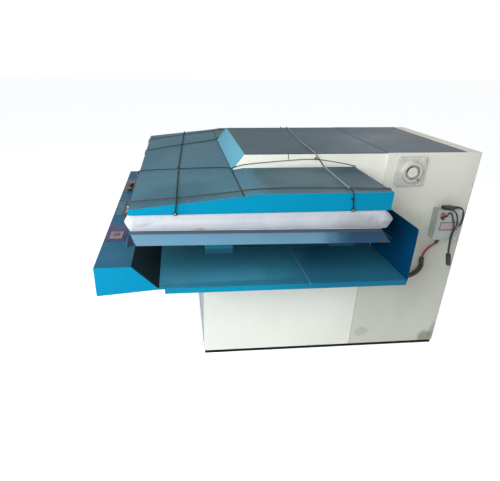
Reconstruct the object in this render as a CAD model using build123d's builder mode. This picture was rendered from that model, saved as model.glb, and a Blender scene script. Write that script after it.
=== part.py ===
"""A flatbed press for cloth: a wide padded head on a lever arm closes on a heated bed.

Millimetres. X points to the operator's right, Y to the rear and Z up. The origin is on the floor,
under the middle of the machine.
"""
from build123d import *
from math import cos, pi, radians, sin, tan
import os

os.makedirs("parts", exist_ok=True)

# Body: the base under the tray and the column behind it
overall_length = 1790.0
body_width = 807.0
body_height = 1100.0
body_length = 1332.0
column_depth = 472.0
column_panel_top = 940.0
base_seam_ahead = 27.0
panel_gap = 2.0
arm_seam_behind = 10.0
sheet = 3.0
plate = 8.0
flange_width = 40.0
skid_height = 20.0
skid_width = 60.0
skid_inset = 4.0
floor_plate = 6.0
rim_depth = 61.0
rim_height = 10.0
rim_groove = 4.0
bulkhead = 5.0
bulkhead_spacing = 290.0
bulkhead_hole = 150.0

# Tray round the body, at working height
tray_width = 1588.0
tray_top = 638.0
tray_lip = 24.0
tray_rear_length = 427.0
bearer_width = 50.0
bearer_count = 5
bearer_setback = 145.0
wing_height = 234.0
wing_corner = 12.0
wing_chamfer = 19.0

# Console across the front
console_height = 742.0
console_top_depth = 148.0
console_slope = 105.0
console_wall = 2.5
bracket_depth = 160.0
bracket_plate = 5.0
bracket_spread = 600.0
panel_edge = 4.0
panel_thickness = 2.5
right_panel_x = 420.0
right_panel_size = (200.0, 92.0)
middle_panel_x = 50.0
middle_panel_size = (224.0, 68.0)
left_panel_x = -406.0
left_panel_size = (288.0, 66.0)
switch_frame_x = 459.0
switch_frame_size = (76.0, 60.0)
switch_frame_height = 6.0
key_size = (24.0, 9.0)
key_pitch = 15.0
key_height = 5.0
key_proud = 2.5
key_travel = 2.0
palm_x = (-401.0, -287.0)
palm_radius = 17.0
palm_stem_radius = 7.0
palm_height = 12.0
palm_proud = 6.0
palm_travel = 4.0

# Bed: the heated lower platen, which falls to the rear
bed_width = 1614.0
bed_length = 995.0
bed_rear_top = 890.0
bed_tilt = 0.8
bed_thickness = 20.0
heater_radius = 4.25
heater_spacing = 120.0
heater_count = 4
insulation_thickness = 28.0
pan_sheet = 2.0
pan_inset = 8.0
skirt_hem = 8.0
skirt_out = 46.0
skirt_drop = 36.0
skirt_sheet = 2.0
front_skirt_drop = 66.0
front_skirt_out = 18.0
rail_width = 60.0
rail_height = 50.0
rail_spread = 600.0
outrigger_width = 110.0
outrigger_reach = 790.0
pedestal_inset = 8.0

# Head: the padded upper platen under its covers
head_width = 1630.0
head_length = 1016.0
head_gap = 144.0
head_bottom = 965.0
front_edge_height = 21.0
crease_height = 64.0
flat_height = 72.0
crease_from_rear = 582.0
flat_from_rear = 529.0
platen_thickness = 28.0
platen_inset = 8.0
cover_cloth = 2.5
cover_bulge = 25.0
cover_ridge_drop = 28.0
cover_rear_setback = 21.0
press_gap = 0.5
rib = 6.0

# Arm: the lever from the head to the pivot in the column
arm_clearance = 2.0
arm_sheet = 4.0
nose_run = 55.0
arm_foot = 1027.0
seam_gap = 4.0
pivot_behind = 127.0
pivot_height = 1016.0
shaft_radius = 25.0
shaft_fit = 0.05
lever_length = 220.0
lever_plate = 20.0
lever_spread = 280.0
lever_hub_radius = 62.0
lever_end_radius = 34.0
lever_depth = 94.0
pin_radius = 15.0
pin_fit = 0.4
opening_angle = 10.0

# Flange bearings on the column plates
bearing_flange = 142.0
bearing_flange_thickness = 14.0
bearing_boss_radius = 51.0
bearing_boss_depth = 33.0
bearing_insert_radius = 36.0
bearing_bolt_spacing = 111.0
bearing_bolt_radius = 6.0

# Air cylinder that works the rear end of the lever
cylinder_radius = 75.0
cylinder_bore = 65.0
cylinder_cap = 166.0
cylinder_cap_height = 30.0
cylinder_foot = 600.0
cylinder_length = 280.0
cylinder_stroke = 40.0
rod_radius = 22.0
rod_fit = 0.1
eye_width = 60.0
piston_height = 26.0
bracket_beam = 20.0

# Electrical box on the right side of the column
box_size = (50.0, 114.0, 150.0)
box_behind = 293.0
box_foot = 682.0
box_wall = 3.0
lid_depth = 12.0
lid_overlap = 2.0
push_radius = 8.5
push_stem = 5.0
push_height = 10.0
push_from_edge = 14.0
push_pitch = 19.0
push_fit = 0.1
push_travel = 4.0
clamp_size = (40.0, 44.0, 14.0)
cable_radius = 4.5
pendant_radius = 3.0
connector_radius = 12.0
connector_length = 62.0
red_cable_radius = 5.0
sleeve_radius = 10.0
gland_radius = 9.0
gland_length = 16.0
cord_radius = 2.0
cord_clearance = 0.5
hook_radius = 2.5
hook_length = 11.0

# Places that follow from the sizes
rear_y = overall_length / 2
front_y = -overall_length / 2
body_half = body_width / 2
body_front = rear_y - body_length
column_front = rear_y - column_depth
base_seam = column_front - base_seam_ahead
arm_seam = column_front + arm_seam_behind
tray_half = tray_width / 2
tray_under = tray_top - sheet
lip_bottom = tray_top - tray_lip
tray_front = front_y + console_top_depth + console_slope
tray_seam = column_front - tray_rear_length
head_half = head_width / 2
head_rear = column_front - head_gap
head_front = head_rear - head_length
crease_y = head_rear - crease_from_rear
flat_y = head_rear - flat_from_rear
front_top = head_bottom + front_edge_height
crease_top = head_bottom + crease_height
flat_top = head_bottom + flat_height
inner_half = body_half - plate
arm_half = inner_half - arm_clearance
nose_top_y = crease_y + nose_run
pivot_y = column_front + pivot_behind
pin_y = pivot_y + lever_length
bed_half = bed_width / 2
bed_rear = head_rear - cover_rear_setback
bed_front = bed_rear - bed_length
bed = Plane(
    origin=(0, bed_rear, bed_rear_top),
    x_dir=(1, 0, 0),
    z_dir=(0, sin(radians(bed_tilt)), cos(radians(bed_tilt))),
)


def bed_top(y):
    """Height of the bed's pressing face at y."""
    return bed_rear_top + (bed_rear - y) * tan(radians(bed_tilt))


def head_top(y):
    """Height of the head's covers at y: a slope up to the crease, a short rise, then level."""
    if y < crease_y:
        share = (y - head_front) / (crease_y - head_front)
        return front_top + share * (crease_top - front_top)
    if y < flat_y:
        share = (y - crease_y) / (flat_y - crease_y)
        return crease_top + share * (flat_top - crease_top)
    return flat_top


def panel_middle(size):
    """The middle, in Y, of a panel that starts near the front edge of the console."""
    return front_y + panel_edge + size[1] / 2


def block(low, high, mode=Mode.ADD):
    """Adds the box between two corners to the part that is being built."""
    size = [b - a for a, b in zip(low, high)]
    middle = [(a + b) / 2 for a, b in zip(low, high)]
    with Locations(tuple(middle)):
        Box(*size, mode=mode)


def side_profile(points, x_low, x_high, mode=Mode.ADD):
    """Adds a prism whose outline is drawn in Y and Z and which runs along X."""
    with BuildSketch(Plane.YZ.offset(x_low)) as profile:
        with BuildLine():
            Polyline(*points, close=True)
        make_face()
    extrude(profile.sketch, amount=x_high - x_low, mode=mode)


def corner_radii(points, limit):
    """The radius of each corner of a tube's route: 0.45 of its shorter run, up to a limit."""
    radii = []
    for before, corner, after in zip(points, points[1:], points[2:]):
        inward = Vector(*corner) - Vector(*before)
        outward = Vector(*after) - Vector(*corner)
        half_turn = radians(inward.get_angle(outward)) / 2
        shorter = min(inward.length, outward.length)
        radii.append(min(0.45 * shorter / tan(half_turn), limit))
    return radii


def tube(points, radius, limit=1000.0):
    """Adds a tube along straight runs joined by tangent arcs."""
    radii = corner_radii(points, limit)
    with BuildLine(mode=Mode.PRIVATE) as route:
        FilletPolyline(*points, radius=radii)
    start = route.line @ 0
    with BuildSketch(Plane(origin=start, z_dir=route.line % 0)) as section:
        Circle(radius)
    sweep(section.sketch, path=route.line)
    return radii


def save(builder, name):
    """Labels a finished piece and writes it as a STEP file."""
    builder.part.label = name
    export_step(builder.part, f"parts/{name}.step")


# Skids and floor plate
skid_outer = body_half - skid_inset
skid_front = body_front + skid_inset
skid_rear = rear_y - skid_inset

with BuildPart() as skids:
    block((skid_outer - skid_width, skid_front, 0), (skid_outer, skid_rear, skid_height))
    block((-skid_outer, skid_front, 0), (skid_width - skid_outer, skid_rear, skid_height))
    for y in (skid_front, skid_rear - skid_width):
        block(
            (skid_width - skid_outer, y, 0),
            (skid_outer - skid_width, y + skid_width, skid_height),
        )
save(skids, "skids")

# Base: side panels with folded flanges, front panel, and a frame of a floor and bulkheads
with BuildPart() as base_sides:
    outer = body_half
    inner = body_half - sheet
    toe = body_half - flange_width
    with BuildSketch(Plane.XZ.offset(-body_front)):
        with BuildLine():
            Polyline(
                (outer, skid_height),
                (outer, lip_bottom),
                (toe, lip_bottom),
                (toe, lip_bottom - sheet),
                (inner, lip_bottom - sheet),
                (inner, skid_height),
                close=True,
            )
        make_face()
    extrude(amount=-(base_seam - panel_gap - body_front))
    mirror(about=Plane.YZ)
save(base_sides, "base_sides")

with BuildPart() as base_front:
    panel_low = (sheet - body_half, body_front, skid_height)
    panel_high = (body_half - sheet, body_front + sheet, lip_bottom - sheet)
    block(panel_low, panel_high)
save(base_front, "base_front")

with BuildPart() as base_frame:
    bulkhead_foot = skid_height + floor_plate
    block(
        (plate - body_half, body_front + sheet, skid_height),
        (body_half - plate, rear_y - sheet, bulkhead_foot),
    )
    for step in (-1, 0, 1):
        y = (body_front + base_seam) / 2 + step * bulkhead_spacing
        with BuildSketch(Plane.XZ.offset(-y)):
            with Locations((0, (bulkhead_foot + lip_bottom - sheet) / 2)):
                Rectangle(body_width - 2 * sheet, lip_bottom - sheet - bulkhead_foot)
                with GridLocations(body_width / 3, 1, 2, 1):
                    Circle(bulkhead_hole / 2, mode=Mode.SUBTRACT)
        extrude(amount=bulkhead)
save(base_frame, "base_frame")

# Tray: two floor sheets with a lip at each side, on cross bearers
for name, y_low, y_high in (
    ("tray_front", tray_front, tray_seam),
    ("tray_rear", tray_seam, column_front),
):
    with BuildPart() as tray_sheet:
        block((-tray_half, y_low, tray_under), (tray_half, y_high, tray_top))
        for side in (-1, 1):
            edge = sorted((side * tray_half, side * (tray_half - sheet)))
            lip_front = y_low + (tray_lip if name == "tray_front" else 0)
            block((edge[0], lip_front, lip_bottom), (edge[1], y_high, tray_under))
    save(tray_sheet, name)

with BuildPart() as tray_bearers:
    bearer_half = tray_half - sheet
    first_bearer = tray_front + bearer_setback
    bearer_pitch = (column_front - bearer_width - first_bearer) / (bearer_count - 1)
    for step in range(bearer_count):
        y = first_bearer + step * bearer_pitch
        block(
            (-bearer_half, y, lip_bottom), (bearer_half, y + bearer_width, tray_under)
        )
        block(
            (-bearer_half, y + sheet, lip_bottom),
            (bearer_half, y + bearer_width - sheet, tray_under - sheet),
            mode=Mode.SUBTRACT,
        )
save(tray_bearers, "tray_bearers")

# Wings: upright plates at the rear of the tray, one each side of the column
with BuildPart() as tray_wings:
    with BuildSketch(Plane.XZ.offset(-column_front)) as outline:
        with Locations(((body_half + tray_half) / 2, lip_bottom + (wing_height + tray_lip) / 2)):
            Rectangle(tray_half - body_half, wing_height + tray_lip)
        top_corner = outline.vertices().group_by(Axis.X)[-1].sort_by(Axis.Y)[-1]
        fillet(top_corner, wing_corner)
        low_corner = outline.vertices().group_by(Axis.X)[-1].sort_by(Axis.Y)[0]
        chamfer(low_corner, wing_chamfer)
    extrude(amount=-sheet)
    mirror(about=Plane.YZ)
save(tray_wings, "tray_wings")

# Console: a hollow folded housing on two brackets
console_rear = front_y + console_top_depth
panel_top = console_height + panel_thickness
frame_top = panel_top + switch_frame_height
frame_y = panel_middle(right_panel_size) + panel_edge
palm_y = panel_middle(left_panel_size) + panel_edge
with BuildPart() as console_housing:
    side_profile(
        (
            (front_y, lip_bottom),
            (front_y, console_height),
            (console_rear, console_height),
            (tray_front, tray_top),
            (tray_front, tray_under),
        ),
        -tray_half,
        tray_half,
    )
    side_profile(
        (
            (front_y + console_wall, lip_bottom + 1.2 * console_wall),
            (front_y + console_wall, console_height - console_wall),
            (console_rear - 0.4 * console_wall, console_height - console_wall),
            (tray_front - 2.5 * console_wall, tray_top - 0.4 * console_wall),
        ),
        console_wall - tray_half,
        tray_half - console_wall,
        mode=Mode.SUBTRACT,
    )
    with BuildSketch(Plane.XY.offset(console_height)):
        with Locations(*[(place, palm_y) for place in palm_x]):
            Circle(palm_stem_radius + push_fit)
    extrude(amount=-2 * console_wall, mode=Mode.SUBTRACT)
save(console_housing, "console_housing")

with BuildPart() as console_brackets:
    underside = (tray_under - lip_bottom) / (tray_front - front_y)
    bracket_tip = front_y + 4 * bracket_plate
    bracket_step = tray_front - bracket_plate
    for side in (-1, 1):
        middle = side * bracket_spread / 2
        side_profile(
            (
                (body_front, lip_bottom - bracket_depth),
                (body_front, lip_bottom),
                (tray_front, lip_bottom),
                (bracket_step, lip_bottom + underside * (bracket_step - front_y)),
                (bracket_tip, lip_bottom + underside * (bracket_tip - front_y)),
                (bracket_tip, lip_bottom - bracket_plate),
            ),
            middle - bracket_plate / 2,
            middle + bracket_plate / 2,
        )
save(console_brackets, "console_brackets")

# Controls on the console: three panels, a framed pair of keys on the right and two palm buttons
with BuildPart() as console_panels:
    for x, size in (
        (right_panel_x, right_panel_size),
        (middle_panel_x, middle_panel_size),
        (left_panel_x, left_panel_size),
    ):
        with BuildSketch(Plane.XY.offset(console_height)):
            with Locations((x, panel_middle(size))):
                RectangleRounded(*size, radius=panel_edge)
        extrude(amount=panel_thickness)
    with BuildSketch(Plane.XY.offset(console_height)):
        with Locations(*[(place, palm_y) for place in palm_x]):
            Circle(palm_stem_radius + push_fit)
    extrude(amount=panel_thickness, mode=Mode.SUBTRACT)
save(console_panels, "console_panels")

with BuildPart() as switch_frame:
    with BuildSketch(Plane.XY.offset(panel_top)):
        with Locations((switch_frame_x, frame_y)):
            RectangleRounded(*switch_frame_size, radius=3)
    extrude(amount=switch_frame_height)
    chamfer(switch_frame.faces().sort_by(Axis.Z)[-1].edges(), 1)
    with BuildSketch(Plane.XY.offset(frame_top)):
        with Locations((switch_frame_x, frame_y)):
            with GridLocations(1, key_pitch, 1, 2):
                Rectangle(key_size[0] + 2 * push_fit, key_size[1] + 2 * push_fit)
    extrude(amount=-(key_height - key_proud + key_travel + push_fit), mode=Mode.SUBTRACT)
save(switch_frame, "switch_frame")

for side, name in ((-1, "key_front"), (1, "key_rear")):
    with BuildPart() as key:
        with BuildSketch(Plane.XY.offset(frame_top + key_proud - key_height)):
            with Locations((switch_frame_x, frame_y + side * key_pitch / 2)):
                Rectangle(*key_size)
        extrude(amount=key_height)
        chamfer(key.faces().sort_by(Axis.Z)[-1].edges(), 0.8)
    save(key, name)

for name, x in zip(("palm_button_left", "palm_button_right"), palm_x):
    with BuildPart() as palm_button:
        with BuildSketch(Plane.XY.offset(panel_top + palm_proud)):
            with Locations((x, palm_y)):
                Circle(palm_stem_radius)
        extrude(amount=-palm_proud - panel_thickness - console_wall)
        with BuildSketch(Plane.XY.offset(panel_top + palm_proud)):
            with Locations((x, palm_y)):
                Circle(palm_radius)
        extrude(amount=palm_height)
        fillet(palm_button.faces().sort_by(Axis.Z)[-1].edges(), 0.4 * palm_height)
    save(palm_button, name)

# Bed: heated platen, heaters, insulation in its pan, flared skirts, beams and pedestal
with BuildPart() as lower_platen:
    with BuildSketch(bed):
        with Locations((0, -bed_length / 2)):
            Rectangle(bed_width, bed_length)
    extrude(amount=-bed_thickness)
    chamfer(lower_platen.faces().sort_by(Axis.Z)[-1].edges(), 1.5)
save(lower_platen, "lower_platen")

heater_level = -bed_thickness - heater_radius - 0.3
with BuildPart() as heating_elements:
    reach = bed_half - 14 * heater_radius
    bend = heater_spacing / 4
    pitch = (bed_length - heater_spacing) / heater_count
    for number in range(heater_count):
        y = -bed_length + heater_spacing + number * pitch
        with BuildLine(bed.offset(heater_level), mode=Mode.PRIVATE) as hairpin:
            first = Line((-reach, y), (reach, y))
            turn = ThreePointArc((reach, y), (reach + bend, y + bend), (reach, y + 2 * bend))
            Line((reach, y + 2 * bend), (-reach, y + 2 * bend))
        with BuildSketch(Plane(origin=hairpin.line @ 0, z_dir=hairpin.line % 0)):
            Circle(heater_radius)
        sweep(path=hairpin.line)
save(heating_elements, "heating_elements")

insulation_top = -bed_thickness - 2 * heater_radius - 0.8
pan_half = bed_half - pan_inset
pan_bottom = insulation_top - insulation_thickness - pan_sheet
with BuildPart() as insulation:
    with BuildSketch(bed.offset(insulation_top)):
        with Locations((0, -bed_length / 2)):
            Rectangle(2 * (pan_half - pan_sheet), bed_length - 2 * (pan_inset + pan_sheet))
    extrude(amount=-insulation_thickness)
save(insulation, "insulation")

with BuildPart() as bed_pan:
    with BuildSketch(bed.offset(-bed_thickness)):
        with Locations((0, -bed_length / 2)):
            Rectangle(2 * pan_half, bed_length - 2 * pan_inset)
    extrude(amount=pan_bottom + bed_thickness)
    with BuildSketch(bed.offset(-bed_thickness)):
        with Locations((0, -bed_length / 2)):
            Rectangle(2 * (pan_half - pan_sheet), bed_length - 2 * (pan_inset + pan_sheet))
    extrude(amount=pan_bottom + bed_thickness + pan_sheet, mode=Mode.SUBTRACT)
save(bed_pan, "bed_pan")

across, along, upward = Vector(1, 0, 0), bed.y_dir, bed.z_dir
skirt_fall = (skirt_out**2 + skirt_drop**2) ** 0.5
with BuildPart() as bed_skirts:
    hem_top = bed.from_local_coords((bed_half + skirt_sheet, 0, -skirt_hem))
    face_normal = across * skirt_drop + upward * skirt_out
    with BuildSketch(Plane(origin=hem_top, x_dir=along, z_dir=face_normal)):
        with BuildLine():
            Polyline(
                (-bed_length - skirt_sheet, 0),
                (0, 0),
                (skirt_out / 2, -skirt_fall),
                (-bed_length + 0.55 * skirt_out, -skirt_fall),
                close=True,
            )
        make_face()
    extrude(amount=-skirt_sheet)
    with BuildSketch(bed.offset(-skirt_hem - skirt_sheet)):
        with Locations((bed_half + skirt_sheet / 2, -bed_length / 2)):
            Rectangle(skirt_sheet, bed_length)
    extrude(amount=skirt_sheet + skirt_hem / 2)
    mirror(about=Plane.YZ)
    for rearward, out, drop in (
        (1, skirt_out, skirt_drop),
        (-1, front_skirt_out, front_skirt_drop),
    ):
        edge = 0 if rearward > 0 else -bed_length
        level = -skirt_hem - skirt_sheet
        hem_top = bed.from_local_coords((0, edge + rearward * skirt_sheet, level))
        face_normal = along * (rearward * drop) + upward * out
        fall = (out**2 + drop**2) ** 0.5
        top_half = bed_half - 2 * skirt_sheet
        low_half = top_half + 0.35 * out * rearward
        with BuildSketch(Plane(origin=hem_top, x_dir=across, z_dir=face_normal)):
            with BuildLine():
                Polyline(
                    (-top_half, 0),
                    (top_half, 0),
                    (low_half, rearward * fall),
                    (-low_half, rearward * fall),
                    close=True,
                )
            make_face()
        extrude(amount=-skirt_sheet)
        with BuildSketch(bed.offset(level - skirt_sheet)):
            with Locations((0, edge + rearward * skirt_sheet / 2)):
                Rectangle(2 * top_half, skirt_sheet)
        extrude(amount=skirt_sheet + skirt_hem / 2)
save(bed_skirts, "bed_skirts")

with BuildPart() as bed_beams:
    root = rail_spread / 2
    with BuildSketch(bed.offset(pan_bottom)):
        with Locations((0, -bed_length / 2)):
            with GridLocations(rail_spread, 1, 2, 1):
                Rectangle(rail_width, bed_length - 4 * pan_inset)
        for y, reach in (
            (-0.655 * bed_length, outrigger_reach),
            (-0.125 * bed_length, outrigger_reach - outrigger_width / 2),
        ):
            for side in (-1, 1):
                with Locations((side * (root + reach) / 2, y)):
                    Rectangle(reach - root, outrigger_width)
    extrude(amount=-rail_height)
save(bed_beams, "bed_beams")

rail_foot = pan_bottom - rail_height
with BuildPart() as pedestal:
    pedestal_half = body_half - pedestal_inset
    pedestal_rear = column_front - pedestal_inset
    foot_lift = rail_foot / cos(radians(bed_tilt))
    side_profile(
        (
            (body_front, tray_top),
            (body_front, bed_top(body_front) + foot_lift),
            (pedestal_rear, bed_top(pedestal_rear) + foot_lift),
            (pedestal_rear, tray_top),
        ),
        -pedestal_half,
        pedestal_half,
    )
    side_profile(
        (
            (body_front + sheet, tray_top),
            (body_front + sheet, bed_top(body_front) + foot_lift - sheet),
            (pedestal_rear - sheet, bed_top(pedestal_rear) + foot_lift - sheet),
            (pedestal_rear - sheet, tray_top),
        ),
        sheet - pedestal_half,
        pedestal_half - sheet,
        mode=Mode.SUBTRACT,
    )
save(pedestal, "pedestal")

# Column: side plates that carry the bearings, front panel, top cover, rim and rear cover
with BuildPart() as column_plates:
    side_profile(
        (
            (base_seam, skid_height),
            (rear_y - sheet, skid_height),
            (rear_y - sheet, body_height),
            (arm_seam, body_height),
            (arm_seam, column_panel_top),
            (column_front, column_panel_top),
            (column_front, lip_bottom),
            (base_seam, lip_bottom),
        ),
        inner_half,
        body_half,
    )
    with BuildSketch(Plane.YZ.offset(inner_half)):
        with Locations((pivot_y, pivot_height)):
            Circle(shaft_radius + plate / 2)
            with GridLocations(bearing_bolt_spacing, bearing_bolt_spacing, 2, 2):
                Circle(bearing_bolt_radius + shaft_fit)
    extrude(amount=plate, mode=Mode.SUBTRACT)
    mirror(about=Plane.YZ)
save(column_plates, "column_plates")

with BuildPart() as column_front_panel:
    block(
        (-inner_half, column_front, tray_top),
        (inner_half, column_front + sheet, column_panel_top),
    )
save(column_front_panel, "column_front_panel")

cover_rear = rear_y - sheet - rim_depth
with BuildPart() as column_top_cover:
    block(
        (-inner_half, arm_seam + seam_gap, body_height - sheet),
        (inner_half, cover_rear, body_height),
    )
save(column_top_cover, "column_top_cover")

with BuildPart() as rear_rim:
    block(
        (-inner_half, cover_rear, body_height - rim_height),
        (inner_half, rear_y - sheet, body_height),
    )
    middle = cover_rear + rim_depth / 2
    block(
        (-inner_half, middle - rim_groove / 2, body_height - rim_height / 2),
        (inner_half, middle + rim_groove / 2, body_height),
        mode=Mode.SUBTRACT,
    )
save(rear_rim, "rear_rim")

with BuildPart() as rear_cover:
    block((-body_half, rear_y - sheet, skid_height), (body_half, rear_y, body_height))
    with BuildSketch(Plane.XZ.offset(-rear_y)):
        with Locations((0, 0.62 * body_height)):
            with GridLocations(2 * bulkhead_hole, 5 * sheet, 2, 9):
                SlotOverall(0.9 * bulkhead_hole, 2 * sheet)
    extrude(amount=sheet, mode=Mode.SUBTRACT)
save(rear_cover, "rear_cover")

# Flange bearings with their inserts and bolts
wall = Plane(origin=(body_half, pivot_y, pivot_height), x_dir=(0, 1, 0), z_dir=(1, 0, 0))
with BuildPart() as flange_bearings:
    with BuildSketch(wall):
        RectangleRounded(bearing_flange, bearing_flange, radius=18)
        with GridLocations(bearing_bolt_spacing, bearing_bolt_spacing, 2, 2):
            Circle(bearing_bolt_radius + shaft_fit, mode=Mode.SUBTRACT)
    extrude(amount=bearing_flange_thickness)
    with BuildSketch(wall.offset(bearing_flange_thickness)):
        Circle(bearing_boss_radius)
    extrude(amount=bearing_boss_depth - bearing_flange_thickness, taper=9)
    with BuildSketch(wall):
        Circle(bearing_insert_radius)
    extrude(amount=bearing_boss_depth, mode=Mode.SUBTRACT)
    boss_face = flange_bearings.faces().sort_by(Axis.X)[-1]
    fillet(boss_face.outer_wire().edges(), 3)
    mirror(about=Plane.YZ)
save(flange_bearings, "flange_bearings")

with BuildPart() as bearing_inserts:
    with BuildSketch(wall.offset(2)):
        Circle(bearing_insert_radius - shaft_fit / 2)
        Circle(shaft_radius + shaft_fit, mode=Mode.SUBTRACT)
    extrude(amount=bearing_boss_depth - 8)
    with BuildSketch(wall.offset(bearing_boss_depth - 6)):
        Circle(shaft_radius + 7)
        Circle(shaft_radius + shaft_fit, mode=Mode.SUBTRACT)
    extrude(amount=8)
    mirror(about=Plane.YZ)
save(bearing_inserts, "bearing_inserts")

with BuildPart() as bearing_bolts:
    with BuildSketch(wall.offset(bearing_flange_thickness)):
        with GridLocations(bearing_bolt_spacing, bearing_bolt_spacing, 2, 2):
            RegularPolygon(1.6 * bearing_bolt_radius, 6)
    extrude(amount=1.2 * bearing_bolt_radius)
    with BuildSketch(wall.offset(bearing_flange_thickness)):
        with GridLocations(bearing_bolt_spacing, bearing_bolt_spacing, 2, 2):
            Circle(bearing_bolt_radius)
    extrude(amount=-bearing_flange_thickness - plate)
    mirror(about=Plane.YZ)
save(bearing_bolts, "bearing_bolts")

# Air cylinder on its bracket, with the rod that works the lever
with BuildPart() as cylinder_bracket:
    block(
        (-inner_half, pin_y - cylinder_cap / 2, cylinder_foot - bracket_beam),
        (inner_half, pin_y + cylinder_cap / 2, cylinder_foot),
    )
    for y in (pin_y - cylinder_cap / 2, pin_y + cylinder_cap / 2 - plate):
        block(
            (-inner_half, y, cylinder_foot - 4 * bracket_beam),
            (inner_half, y + plate, cylinder_foot - bracket_beam),
        )
save(cylinder_bracket, "cylinder_bracket")

cylinder_top = cylinder_foot + cylinder_length
with BuildPart() as cylinder_body:
    with BuildSketch(Plane.XY.offset(cylinder_foot)):
        with Locations((0, pin_y)):
            RectangleRounded(cylinder_cap, cylinder_cap, radius=12)
    extrude(amount=cylinder_cap_height)
    with BuildSketch(Plane.XY.offset(cylinder_foot + cylinder_cap_height)):
        with Locations((0, pin_y)):
            Circle(cylinder_radius)
    extrude(amount=cylinder_length - 2 * cylinder_cap_height)
    with BuildSketch(Plane.XY.offset(cylinder_top - cylinder_cap_height)):
        with Locations((0, pin_y)):
            RectangleRounded(cylinder_cap, cylinder_cap, radius=12)
    extrude(amount=cylinder_cap_height)
    with BuildSketch(Plane.XY.offset(cylinder_foot + cylinder_cap_height)):
        with Locations((0, pin_y)):
            Circle(cylinder_bore)
    extrude(amount=cylinder_length - 2 * cylinder_cap_height, mode=Mode.SUBTRACT)
    with BuildSketch(Plane.XY.offset(cylinder_top - cylinder_cap_height)):
        with Locations((0, pin_y)):
            Circle(rod_radius + rod_fit)
    extrude(amount=cylinder_cap_height, mode=Mode.SUBTRACT)
save(cylinder_body, "cylinder_body")

eye_radius = lever_end_radius - 2
slot_play = lever_length * (1 - cos(radians(opening_angle)))
with BuildPart() as cylinder_rod:
    piston_top = cylinder_top - cylinder_cap_height - 2
    with BuildSketch(Plane.XY.offset(piston_top)):
        with Locations((0, pin_y)):
            Circle(cylinder_bore - rod_fit)
    extrude(amount=-piston_height)
    with BuildSketch(Plane.XY.offset(piston_top)):
        with Locations((0, pin_y)):
            Circle(rod_radius)
    extrude(amount=pivot_height - piston_top)
    with BuildSketch(Plane.YZ.offset(-eye_width / 2)):
        with Locations((pin_y, pivot_height)):
            Circle(eye_radius)
    extrude(amount=eye_width)
    with BuildSketch(Plane.YZ.offset(-eye_width / 2)):
        with Locations((pin_y - slot_play / 2, pivot_height)):
            SlotOverall(2 * (pin_radius + pin_fit) + slot_play, 2 * (pin_radius + pin_fit))
    extrude(amount=eye_width, mode=Mode.SUBTRACT)
save(cylinder_rod, "cylinder_rod")

# Lever: two plates from the head over the pivot shaft to the cylinder's pin
lever_front = head_front + 6 * platen_inset
lever_low = head_bottom
lever_top = lever_low + lever_depth
lever_inner = lever_spread / 2
lever_outer = lever_inner + lever_plate
with BuildPart() as lever_plates:
    with BuildSketch(Plane.YZ.offset(lever_inner)):
        with BuildLine():
            Polyline(
                (lever_front, lever_low),
                (column_front, lever_low),
                (pivot_y - lever_hub_radius / 2, pivot_height - lever_hub_radius),
                (pivot_y + lever_hub_radius / 2, pivot_height - 0.95 * lever_hub_radius),
                (pin_y, pivot_height - lever_end_radius),
                (pin_y, pivot_height + lever_end_radius),
                (pivot_y + lever_hub_radius / 2, pivot_height + 0.9 * lever_hub_radius),
                (column_front, lever_top),
                (nose_top_y + arm_sheet, lever_top),
                (crease_y + arm_sheet, crease_top - 3 * sheet),
                (lever_front, head_top(lever_front) - 3 * sheet),
                close=True,
            )
        make_face()
        with Locations((pivot_y, pivot_height)):
            Circle(lever_hub_radius)
        with Locations((pin_y, pivot_height)):
            Circle(lever_end_radius)
            Circle(pin_radius + shaft_fit, mode=Mode.SUBTRACT)
        with Locations((pivot_y, pivot_height)):
            Circle(shaft_radius + shaft_fit, mode=Mode.SUBTRACT)
        with Locations(((nose_top_y + column_front) / 2, (lever_low + lever_top) / 2)):
            with GridLocations(2.4 * lever_hub_radius, 1, 4, 1):
                Circle(0.45 * lever_hub_radius, mode=Mode.SUBTRACT)
    extrude(amount=lever_plate)
    mirror(about=Plane.YZ)
save(lever_plates, "lever_plates")

with BuildPart() as pivot_shaft:
    shaft_half = body_half + bearing_boss_depth
    with BuildSketch(Plane.YZ.offset(-shaft_half)):
        with Locations((pivot_y, pivot_height)):
            Circle(shaft_radius)
    extrude(amount=2 * shaft_half)
    chamfer(pivot_shaft.edges().filter_by(GeomType.CIRCLE), 1.5)
save(pivot_shaft, "pivot_shaft")

with BuildPart() as lever_pin:
    pin_half = lever_spread / 2 + lever_plate + 5
    with BuildSketch(Plane.YZ.offset(-pin_half)):
        with Locations((pin_y, pivot_height)):
            Circle(pin_radius)
    extrude(amount=2 * pin_half)
    for x in (eye_width / 2 + 0.5, -eye_width / 2 - 12.5):
        with BuildSketch(Plane.YZ.offset(x)):
            with Locations((pin_y, pivot_height)):
                Circle(1.5 * pin_radius)
        extrude(amount=12)
save(lever_pin, "lever_pin")

# Arm: side sheets, nose and top cover, all carried by the lever
arm_top = body_height - sheet
nose_share = (arm_top - crease_top) / (body_height - crease_top)
arm_rear = pivot_y - lever_hub_radius
arm_shoulder = body_height - 30.0
with BuildPart() as arm_sides:
    side_profile(
        (
            (crease_y + arm_sheet, lever_low),
            (crease_y + arm_sheet, crease_top),
            (crease_y + arm_sheet + nose_share * nose_run, arm_top),
            (arm_seam - seam_gap, arm_top),
            (arm_seam - 5 * seam_gap, arm_shoulder),
            (arm_rear, arm_shoulder),
            (arm_rear, arm_foot),
            (head_rear, arm_foot),
            (head_rear, lever_low),
        ),
        arm_half - arm_sheet,
        arm_half,
    )
    mirror(about=Plane.YZ)
save(arm_sides, "arm_sides")

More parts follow.
